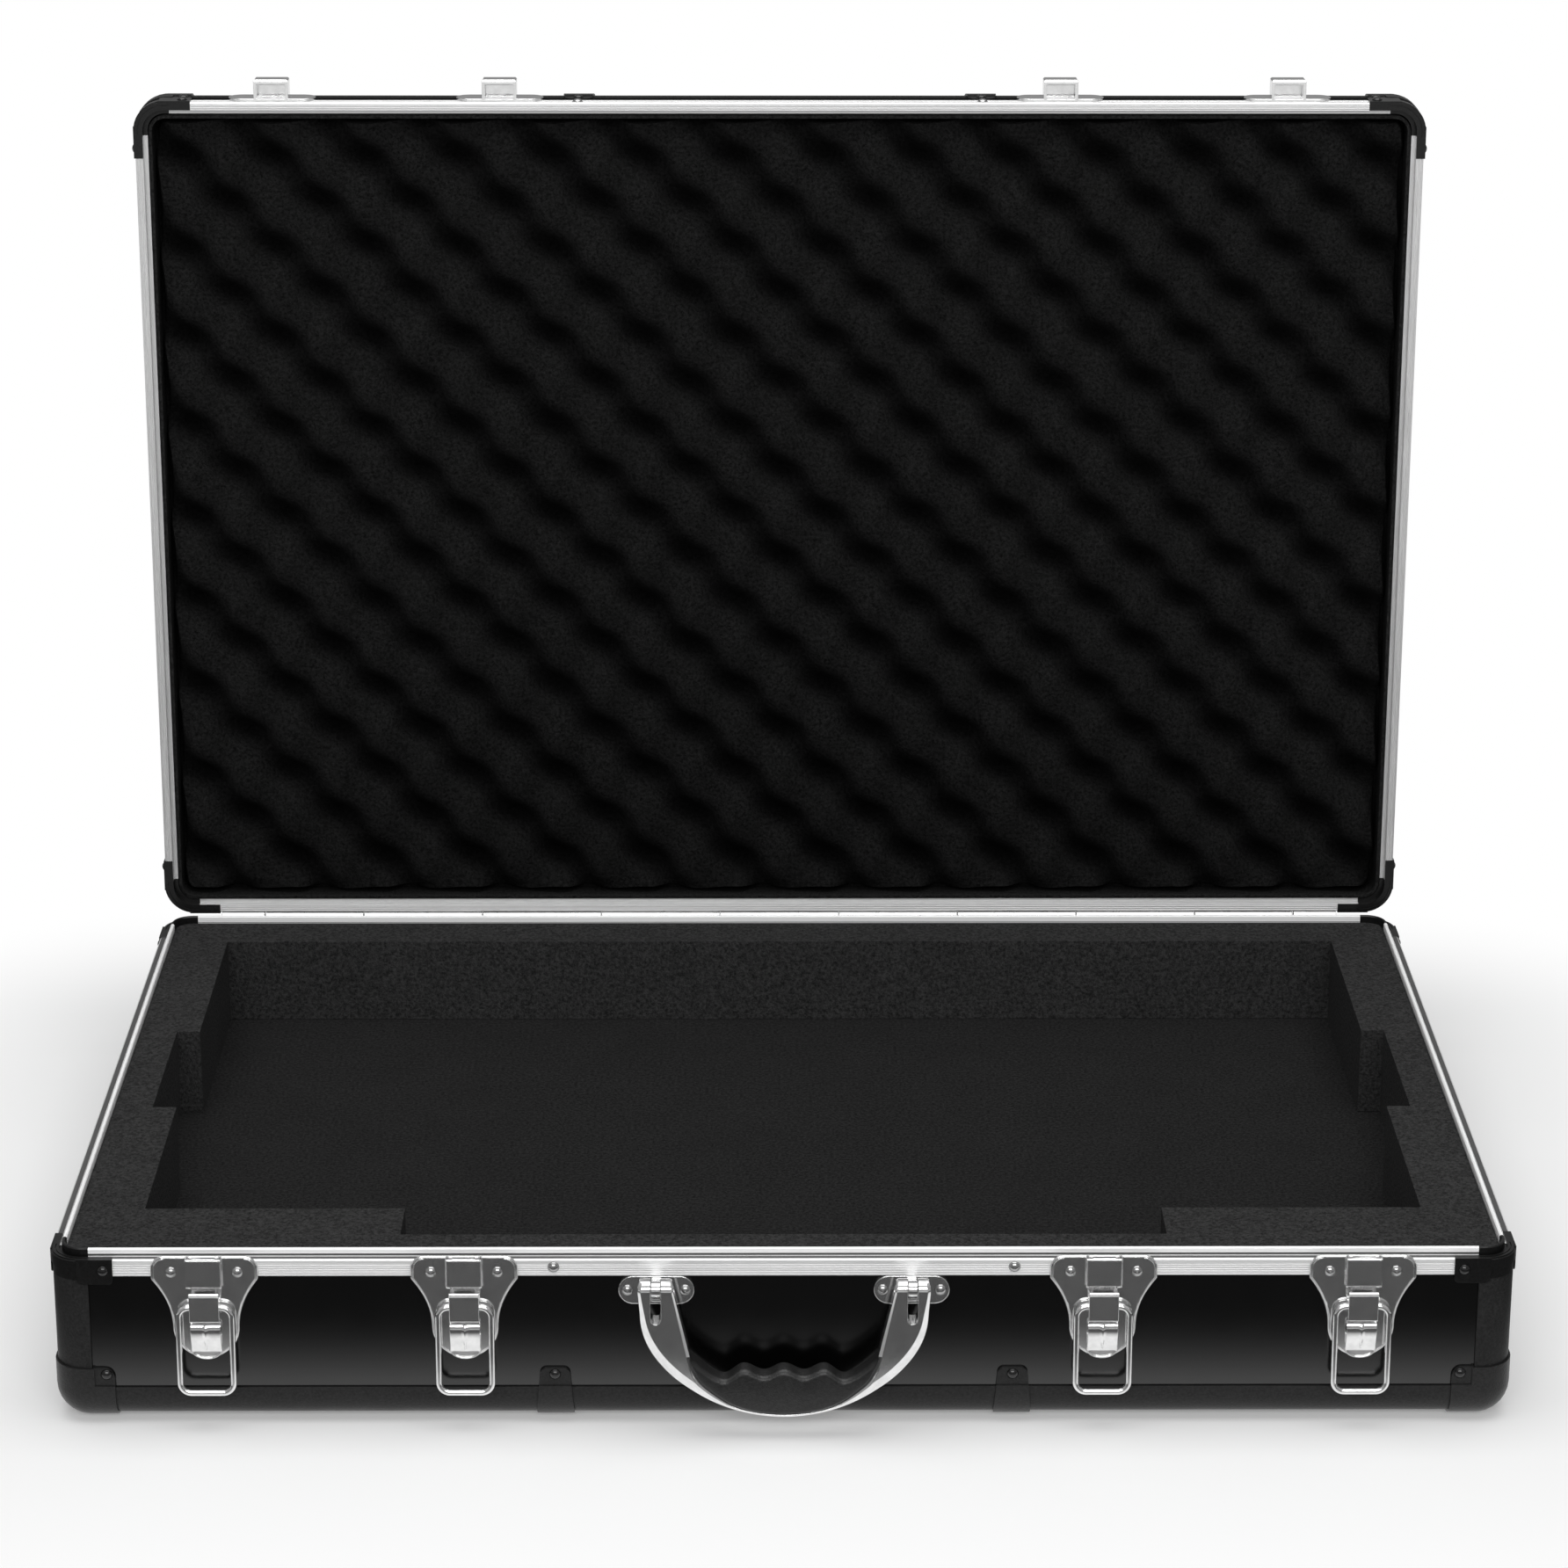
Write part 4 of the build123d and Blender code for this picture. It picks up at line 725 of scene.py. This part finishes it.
def chamfered_section(width, half_thick, outer, inner, inner_lean=1.0):
    """Section of a flat-faced bar with chamfered edges: (across from the outer edge, out from the middle)."""
    outer = min(outer, width * OUTER_WIDEST)
    inner = min(inner, width * INNER_WIDEST)
    outer_deep = min(outer * OUTER_LEAN, half_thick * OUTER_DEEPEST)
    inner_deep = min(inner * inner_lean, half_thick * INNER_DEEPEST)
    front = [
        (0, half_thick - outer_deep), (outer, half_thick),
        (width - inner, half_thick), (width, half_thick - inner_deep),
    ]
    return front + [(across, -out) for across, out in reversed(front)]


def bar_ring(outer, inner, middle, section, *sizes):
    """Ring of a bar's section between two points of the front view, about the middle of its thickness."""
    way = (inner - outer).normalized()
    ring = []
    for along, out in section((inner - outer).length, *sizes):
        spot = outer + way * along
        ring.append((spot.x, middle - out, MATE + spot.y))
    return ring


def front_place(x, spot, out):
    """Place of a spot in the front view beside x, some millimetres out from the front."""
    return (x + spot.x, FRONT - out * MM, MATE + spot.y)


def swept_bar(name, stations):
    """Closed skin over rings of points."""
    size = len(stations[0])
    vertices = [point for ring in stations for point in ring]
    faces = []
    for row in range(len(stations) - 1):
        for index in range(size):
            a = row * size + index
            b = row * size + (index + 1) % size
            faces.append((a, a + size, b + size, b))
    last = (len(stations) - 1) * size
    faces.append(tuple(range(size)))
    faces.append(tuple(reversed(range(last, last + size))))
    piece = mesh_piece(name, vertices, faces)
    face_outward(piece, merge=0.01 * MM)
    return piece


def prism(name, outline, start, direction):
    """Solid of a closed outline of points pushed along a direction."""
    vertices = [Vector(start) + Vector(point) for point in outline]
    vertices += [vertex + Vector(direction) for vertex in vertices]
    count = len(outline)
    faces = [tuple(range(count)), tuple(reversed(range(count, 2 * count)))]
    for index in range(count):
        following = (index + 1) % count
        faces.append((index, index + count, following + count, following))
    piece = mesh_piece(name, vertices, faces)
    face_outward(piece)
    return piece


def cut(piece, cutter):
    """The piece with the cutter taken out of it, for good."""
    change = piece.modifiers.new("cut", "BOOLEAN")
    change.operation = "DIFFERENCE"
    change.solver = "EXACT"
    change.object = cutter
    result = bpy.data.meshes.new_from_object(piece.evaluated_get(bpy.context.evaluated_depsgraph_get()))
    piece.modifiers.clear()
    piece.data = result
    bpy.data.objects.remove(cutter)


# Handle bow: sizes, then its chamfers, which grow from the arm's top down to the diagonals
HANDLE_MIDDLE = FRONT - 13 * MM
BOW_HALF_THICK = 5 * MM
BOW_HALF_WIDTH = 64.5 * MM
BOW_DROP = 50 * MM
BOW_CENTRE_DOWN = 20 * MM
BOW_STEPS = 40
BOW_EASE = 0.9
BOW_STATIONS = 48
ARM_X = 57.4 * MM
ARM_HALF = 8 * MM
ARM_ELBOW = (41 * MM, -46 * MM)
BOW_FLOOR = ((35.7 * MM, -54.6 * MM), (20.6 * MM, -65.2 * MM))
BOW_FLOOR_DOWN = 68.6 * MM
PIVOT_DOWN = 9 * MM
EYE_RINGS = 7
EYE_TURN = 12
EYE_START = 3
EYE_NARROWING = 1.6 * MM
OUTER_CHAMFER = 1.4 * MM
OUTER_GROWTH = 5.4 * MM
OUTER_FULL = 0.62
OUTER_EASE = 1.4
INNER_CHAMFER = 0.9 * MM
INNER_GROWTH = 1.7 * MM
LEAN_LOSS = 0.3
LEAN_FULL = 0.5
BOW_SHARP = 24
BOW_BEVEL = 0.25 * MM
SLOT_HALF = 2.35 * MM
SLOT_BOTTOM = 24 * MM
SLOT_REACH = 8 * MM
PIN_RADIUS = 1.6 * MM
BORE_REACH = 12 * MM


def bow_lines():
    """Outer and inner edge of the bow's right half, from the arm's top to the low middle."""
    outer = [Vector((ARM_X + ARM_HALF, -PIVOT_DOWN))]
    for step in range(BOW_STEPS + 1):
        angle = math.pi / 2 * (step / BOW_STEPS) ** BOW_EASE
        down = BOW_CENTRE_DOWN + BOW_DROP * math.sin(angle)
        outer.append(Vector((BOW_HALF_WIDTH * math.cos(angle), -down)))
    mirrored = (-BOW_FLOOR[1][0], BOW_FLOOR[1][1])
    bend = smooth_line([ARM_ELBOW, *BOW_FLOOR, (0, -BOW_FLOOR_DOWN), mirrored], count=8)
    bend = [point for point in bend if point.x >= -0.01 * MM]
    inner = [Vector((ARM_X - ARM_HALF, -PIVOT_DOWN))] + bend
    return outer, inner


def eye_rings(outer, inner):
    """Rings over the round top of an arm, from its crown down to the level of the pivot."""
    rings = []
    for step in range(EYE_RINGS, 0, -1):
        angle = math.radians(EYE_TURN * step + EYE_START)
        rise = Vector((0, BOW_HALF_THICK * math.sin(angle)))
        narrow = Vector((EYE_NARROWING * (1 - math.cos(angle)), 0))
        sizes = (BOW_HALF_THICK * math.cos(angle), OUTER_CHAMFER, INNER_CHAMFER)
        ends = (outer + rise - narrow, inner + rise + narrow)
        rings.append(bar_ring(*ends, HANDLE_MIDDLE, chamfered_section, *sizes))
    return rings


def bow_sizes(share):
    """Sizes of the bow's section at a share of the way from the arm's top to the low middle."""
    growth = math.sin(math.pi / 2 * min(share / OUTER_FULL, 1.0)) ** OUTER_EASE
    lean = 1.0 - LEAN_LOSS * min(share / LEAN_FULL, 1.0)
    return BOW_HALF_THICK, OUTER_CHAMFER + OUTER_GROWTH * growth, INNER_CHAMFER + INNER_GROWTH * share, lean


def cut_eye(piece, x):
    """Takes an arm's slot and the bore of its pin out of the bow."""
    slot = [(-SLOT_HALF, 0, SLOT_REACH), (SLOT_HALF, 0, SLOT_REACH)]
    foot = arc((0, PIVOT_DOWN - SLOT_BOTTOM + SLOT_HALF), SLOT_HALF, 0, -180, 12)
    slot += [(across, 0, level) for across, level in foot]
    start = (x, HANDLE_MIDDLE - SLOT_REACH, MATE - PIVOT_DOWN)
    cut(piece, prism("slot", slot, start, (0, 2 * SLOT_REACH, 0)))
    bore = [(0, out, level) for out, level in arc((0, 0), PIN_RADIUS, 0, 360, 24)[:-1]]
    start = (x - BORE_REACH, HANDLE_MIDDLE, MATE - PIVOT_DOWN)
    cut(piece, prism("bore", bore, start, (2 * BORE_REACH, 0, 0)))


def build_handle_bow():
    """Flat-faced bow whose outer chamfer widens down to the diagonals."""
    outer, inner = (resample(line, BOW_STATIONS) for line in bow_lines())
    half = eye_rings(outer[0], inner[0])
    for index in range(BOW_STATIONS):
        sizes = bow_sizes(index / (BOW_STATIONS - 1))
        half.append(bar_ring(outer[index], inner[index], HANDLE_MIDDLE, chamfered_section, *sizes))
    other = [[(-x, y, z) for x, y, z in ring] for ring in reversed(half[:-1])]
    piece = swept_bar("handle_bow_rounded", half + other)
    for side in (-1, 1):
        cut_eye(piece, side * ARM_X)
    finish_piece(piece, "handle", chrome_bow, "chrome", "handle_bow", sharp=BOW_SHARP)
    add_bevel(piece, BOW_BEVEL, angle=BOW_SHARP)
    piece.modifiers.new("normals", "WEIGHTED_NORMAL")


# Handle grip: three soft waves between two shoulders that rise to the arms
GRIP_HALF_THICK = 5.7 * MM
GRIP_TOP_RADIUS = 3.0 * MM
GRIP_LOW_RADIUS = 1.8 * MM
GRIP_REACH = 42.1 * MM
GRIP_STATIONS = 141
GRIP_LEAST = 0.4 * MM
CREST_X = 18 * MM
SHOULDER_X = 27 * MM
GRIP_END_X = 42.3 * MM
CREST_LEVEL = -46.5 * MM
CREST_WAVE = 1.6 * MM
SHOULDER_WAVE = 2.4 * MM
SHOULDER_RISE = 11.1 * MM
SHOULDER_EASE = 1.5


def grip_top(x):
    """Level of the grip's upper edge."""
    x = abs(x)
    if x <= CREST_X:
        return CREST_LEVEL - CREST_WAVE * (1 - math.cos(2 * math.pi * x / CREST_X))
    if x <= SHOULDER_X:
        turn = math.pi * (x - CREST_X) / (SHOULDER_X - CREST_X)
        return CREST_LEVEL - SHOULDER_WAVE * (1 - math.cos(turn))
    share = (x - SHOULDER_X) / (GRIP_END_X - SHOULDER_X)
    return CREST_LEVEL - 2 * SHOULDER_WAVE + SHOULDER_RISE * share**SHOULDER_EASE


def build_handle_grip():
    inner = list(reversed(bow_lines()[1]))
    xs = [point.x for point in inner]
    levels = [point.y for point in inner]
    sizes = (GRIP_HALF_THICK, GRIP_TOP_RADIUS, GRIP_LOW_RADIUS)
    stations = []
    for x in np.linspace(-GRIP_REACH, GRIP_REACH, GRIP_STATIONS):
        low = float(np.interp(abs(x), xs, levels))
        top = max(grip_top(x), low + GRIP_LEAST)
        stations.append(bar_ring(Vector((x, top)), Vector((x, low)), HANDLE_MIDDLE, rounded_section, *sizes))
    piece = swept_bar("handle_grip_waved", stations)
    finish_piece(piece, "handle", grip_plastic, "grip_black", "handle_grip")


# Latch tongues: lines and rims as millimetres (down, out), (across, out) and shares (along, half width)
TONGUE_HALF = 6.8 * MM
TONGUE_BOTTOM = 48.2 * MM
TONGUE_LINE = (
    (29.4, 3.6), (30.6, 4.7), (32.2, 5.3), (34.0, 5.45), (36.0, 5.2), (38.0, 4.7), (41.2, 3.7), (44.3, 2.7),
)
SHEET_THICK = 1.0 * MM
SHEET_LEAST = 1.62 * MM
DISH_HALF = 7.0 * MM
DISH_TOP = 36 * MM
DISH_DEEP = 4.5 * MM
DISH_STEPS = 32
DISH_RIM = ((0, 1.6), (0, 2.45), (0.2, 2.8), (0.55, 2.95), (0.9, 2.8), (1.1, 2.3), (1.25, 2.1))
STAKE_TOP = 30.3
STAKE_LONG = 12.6
STAKE_HALF = 1.6 * MM
STAKE_RIDGE_HALF = 0.2 * MM
STAKE_SUNK = 0.3
STAKE_RISE = 0.75
STAKE_TIP_SHARE = 0.35
STAKE_SHAPE = ((0.0, 0.45), (0.12, 0.9), (0.3, 1.0), (0.5, 0.82), (0.75, 0.45), (1.0, 0.05))


def tongue_sheet(x):
    """Curled sheet that leans out under the hook's pad and back in below."""
    line = smooth_line([(down * MM, out * MM) for down, out in TONGUE_LINE], count=3)
    front = [(0, FRONT - out, MATE - down) for down, out in line]
    back = [(0, FRONT - max(out - SHEET_THICK, SHEET_LEAST), MATE - down) for down, out in reversed(line)]
    return prism("sheet", front + back, (x - TONGUE_HALF, 0, 0), (2 * TONGUE_HALF, 0, 0))


def tongue_dish(x):
    """Round-bottomed dish below the sheet, with a raised round rim."""
    centre = DISH_DEEP - TONGUE_BOTTOM
    outline = [Vector((-DISH_HALF, -DISH_TOP))]
    for step in range(DISH_STEPS + 1):
        angle = math.pi * (1 + step / DISH_STEPS)
        outline.append(Vector((DISH_HALF * math.cos(angle), centre + DISH_DEEP * math.sin(angle))))
    outline.append(Vector((DISH_HALF, -DISH_TOP)))
    stations = []
    for across, out in DISH_RIM:
        ring = []
        for point in outline:
            below = min(0, point.y - centre)
            inward = Vector((-point.x / DISH_HALF**2, -below / DISH_DEEP**2)).normalized()
            ring.append(front_place(x, point + inward * across * MM, out))
        stations.append(ring)
    return swept_bar("dish", stations)


def tongue_stake(x):
    """Pointed stake with a ridge, standing on the sheet."""
    downs, outs = zip(*TONGUE_LINE)
    stations = []
    for along, width in STAKE_SHAPE:
        down = STAKE_TOP + STAKE_LONG * along
        face = float(np.interp(down, downs, outs))
        foot = face - STAKE_SUNK
        crest = face + STAKE_RISE * (STAKE_TIP_SHARE + (1 - STAKE_TIP_SHARE) * width)
        half = STAKE_HALF * width
        corners = ((-half, foot), (-STAKE_RIDGE_HALF, crest), (STAKE_RIDGE_HALF, crest), (half, foot))
        stations.append([front_place(x, Vector((across, -down * MM)), out) for across, out in corners])
    return swept_bar("stake", stations)


def build_latch_tongues():
    parts = []
    for x in LATCH_X:
        parts += [tongue_sheet(x), tongue_dish(x), tongue_stake(x)]
    piece = joined_piece("latch_tongue_curls", parts)
    finish_piece(piece, "base", chrome, "chrome", "latch_tongues")


# Latch plates' rolled edge, its section as millimetres (across, out)
PLATE_HALF_TOP = 24 * MM
PLATE_HALF_NECK = 14.9 * MM
PLATE_SHOULDER = 9 * MM
PLATE_NECK_DOWN = 33 * MM
PLATE_CORNER = 6 * MM
PLATE_TOP = 2 * MM
PLATE_FLANK = Vector((-0.6, -0.8))
PLATE_FLANK_STEPS = 20
PLATE_RIM = ((0, 0.3), (0, 0.5), (1.0, 1.7), (1.25, 1.78), (1.45, 1.6), (1.45, 0.3))


def plate_side():
    """One side of a latch plate, from its top corner down to the middle of its round lower end."""
    corner = (PLATE_HALF_TOP - PLATE_CORNER, PLATE_TOP - PLATE_CORNER)
    line = [Vector(point) for point in arc(corner, PLATE_CORNER, 90, 0, 8)]
    start = Vector((PLATE_HALF_TOP, -PLATE_SHOULDER))
    end = Vector((PLATE_HALF_NECK, -PLATE_NECK_DOWN))
    pull = (end - start).length
    for step in range(PLATE_FLANK_STEPS + 1):
        t = step / PLATE_FLANK_STEPS
        leaving = PLATE_FLANK * pull * (t**3 - 2 * t**2 + t)
        arriving = Vector((0, -1)) * pull * (t**3 - t**2)
        line.append(start * (2 * t**3 - 3 * t**2 + 1) + end * (3 * t**2 - 2 * t**3) + leaving + arriving)
    low_end = arc((0, -PLATE_NECK_DOWN), PLATE_HALF_NECK, 0, -90, 12)
    return line + [Vector(point) for point in low_end[1:]]


def plate_rim(x, line):
    """Rolled edge along the inside of a latch plate's outline."""
    stations = []
    for index, point in enumerate(line):
        way = (line[min(index + 1, len(line) - 1)] - line[max(index - 1, 0)]).normalized()
        inward = Vector((-way.y, way.x))
        stations.append([front_place(x, point + inward * across * MM, out) for across, out in PLATE_RIM])
    return swept_bar("rim", stations)


def build_plate_rims():
    side = plate_side()
    line = [Vector((-point.x, point.y)) for point in side] + list(reversed(side[:-1]))
    piece = joined_piece("latch_plate_rims", [plate_rim(x, line) for x in LATCH_X])
    finish_piece(piece, "base", chrome, "chrome", sharp=30)


build_plate_rims()
build_handle_bow()
build_handle_grip()
build_latch_tongues()


# Camera
def camera_rotation():
    forward = Vector((
        math.sin(CAMERA_YAW) * math.cos(CAMERA_PITCH),
        math.cos(CAMERA_YAW) * math.cos(CAMERA_PITCH),
        -math.sin(CAMERA_PITCH),
    ))
    right = Vector((math.cos(CAMERA_YAW), -math.sin(CAMERA_YAW), 0))
    up = right.cross(forward)
    rolled_right = right * math.cos(CAMERA_ROLL) + up * math.sin(CAMERA_ROLL)
    rolled_up = up * math.cos(CAMERA_ROLL) - right * math.sin(CAMERA_ROLL)
    return Matrix((rolled_right, rolled_up, -forward)).transposed()


camera_data = bpy.data.cameras.new("camera")
camera = bpy.data.objects.new("camera", camera_data)
scene.collection.objects.link(camera)
camera.matrix_world = Matrix.Translation(CAMERA_PLACE) @ camera_rotation().to_4x4()
camera_data.lens = CAMERA_LENS
camera_data.sensor_width = CAMERA_SENSOR
camera_data.clip_start = CAMERA_NEAR
camera_data.clip_end = CAMERA_FAR
scene.camera = camera

# Floor: its size, where it turns white to the camera, and its tones to glossy rays by distance from the case
FLOOR_HALF = 14.0
FLOOR_TONE = 0.86
WHITE_START = 0.03
WHITE_END = 0.24
WHITE_LEAST = 0.22
MIRROR_REACH = 1.5
MIRROR_TONES = (
    (0.027, 1.0), (0.041, 0.55), (0.057, 0.19), (0.072, 0.06), (0.33, 0.05), (0.67, 0.45), (0.93, 0.85),
)

# World: its tones to glossy rays by the height of their direction, and its light on everything else
SKY_TONES = ((0.0, 0.26), (0.45, 0.30), (0.75, 0.45), (1.0, 0.8))
SKY_LIGHT = 0.3


def footprint_distance(tree):
    """Distance on the floor from the case's footprint."""
    away = vector_step(tree, "ABSOLUTE", place_coordinates(tree))["Vector"]
    outside = vector_step(tree, "SUBTRACT", away, (WIDTH / 2, DEPTH / 2, 0))["Vector"]
    beyond = vector_step(tree, "MAXIMUM", outside, (0, 0, 0))["Vector"]
    return vector_step(tree, "LENGTH", beyond)["Value"]


def mixed_shader(tree, factor, first, second):
    node = add_node(tree, "ShaderNodeMixShader")
    tree.links.new(factor, node.inputs["Fac"])
    tree.links.new(first, node.inputs[1])
    tree.links.new(second, node.inputs[2])
    return node.outputs["Shader"]


def build_floor():
    """Pale floor, white to the camera away from the case, with its own tones to glossy rays."""
    size = FLOOR_HALF
    corners = [(-size, -size, 0), (size, -size, 0), (size, size, 0), (-size, size, 0)]
    floor = mesh_piece("floor", corners, [(0, 1, 2, 3)])
    material, tree, shader = new_material("floor_paper", grey(FLOOR_TONE), roughness=0.9)
    shader.inputs["Specular IOR Level"].default_value = 0.0
    path = add_node(tree, "ShaderNodeLightPath")
    distance = footprint_distance(tree)
    away = add_node(tree, "ShaderNodeMapRange", interpolation_type="SMOOTHSTEP")
    away.inputs["From Min"].default_value = WHITE_START
    away.inputs["From Max"].default_value = WHITE_END
    away.inputs["To Min"].default_value = WHITE_LEAST
    tree.links.new(distance, away.inputs["Value"])
    seen = calculated(tree, "MULTIPLY", path.outputs["Is Camera Ray"], away.outputs["Result"])
    white = add_node(tree, "ShaderNodeEmission")
    direct = mixed_shader(tree, seen, shader.outputs["BSDF"], white.outputs["Emission"])

    reach = calculated(tree, "DIVIDE", distance, MIRROR_REACH)
    mirrored = add_node(tree, "ShaderNodeEmission")
    tree.links.new(ramp(tree, reach, MIRROR_TONES), mirrored.inputs["Color"])
    both = mixed_shader(tree, path.outputs["Is Glossy Ray"], direct, mirrored.outputs["Emission"])
    tree.links.new(both, tree.nodes["Material Output"].inputs["Surface"])
    floor.data.materials.append(material)


def build_world():
    """White to the camera, a sky that pales upward to glossy rays, and soft grey light to the rest."""
    world = bpy.data.worlds.new("studio")
    scene.world = world
    world.use_nodes = True
    tree = world.node_tree
    path = add_node(tree, "ShaderNodeLightPath")
    direction = add_node(tree, "ShaderNodeTexCoord")
    height = axes_of(tree, direction.outputs["Generated"])["Z"]
    soft = add_node(tree, "ShaderNodeMixRGB")
    soft.inputs["Color1"].default_value = (*grey(SKY_LIGHT), 1)
    tree.links.new(path.outputs["Is Glossy Ray"], soft.inputs["Fac"])
    tree.links.new(ramp(tree, height, SKY_TONES), soft.inputs["Color2"])
    seen = add_node(tree, "ShaderNodeMixRGB")
    seen.inputs["Color2"].default_value = (1, 1, 1, 1)
    tree.links.new(path.outputs["Is Camera Ray"], seen.inputs["Fac"])
    tree.links.new(soft.outputs["Color"], seen.inputs["Color1"])
    tree.links.new(seen.outputs["Color"], tree.nodes["Background"].inputs["Color"])


def add_lamp(name, place, aim, size, power):
    data = bpy.data.lights.new(name, "AREA")
    data.shape = "RECTANGLE"
    data.size, data.size_y = size
    data.energy = power
    lamp = bpy.data.objects.new(name, data)
    scene.collection.objects.link(lamp)
    lamp.location = place
    lamp.rotation_euler = (Vector(aim) - Vector(place)).to_track_quat("-Z", "Y").to_euler()


build_floor()
build_world()
add_lamp("overhead", place=(0, -0.2, 2.2), aim=(0, 0, 0.1), size=(2.4, 1.8), power=34)
add_lamp("front", place=(0, -2.6, 1.6), aim=(0, 0, 0.2), size=(2.6, 1.0), power=38)

scene.view_settings.view_transform = "Standard"
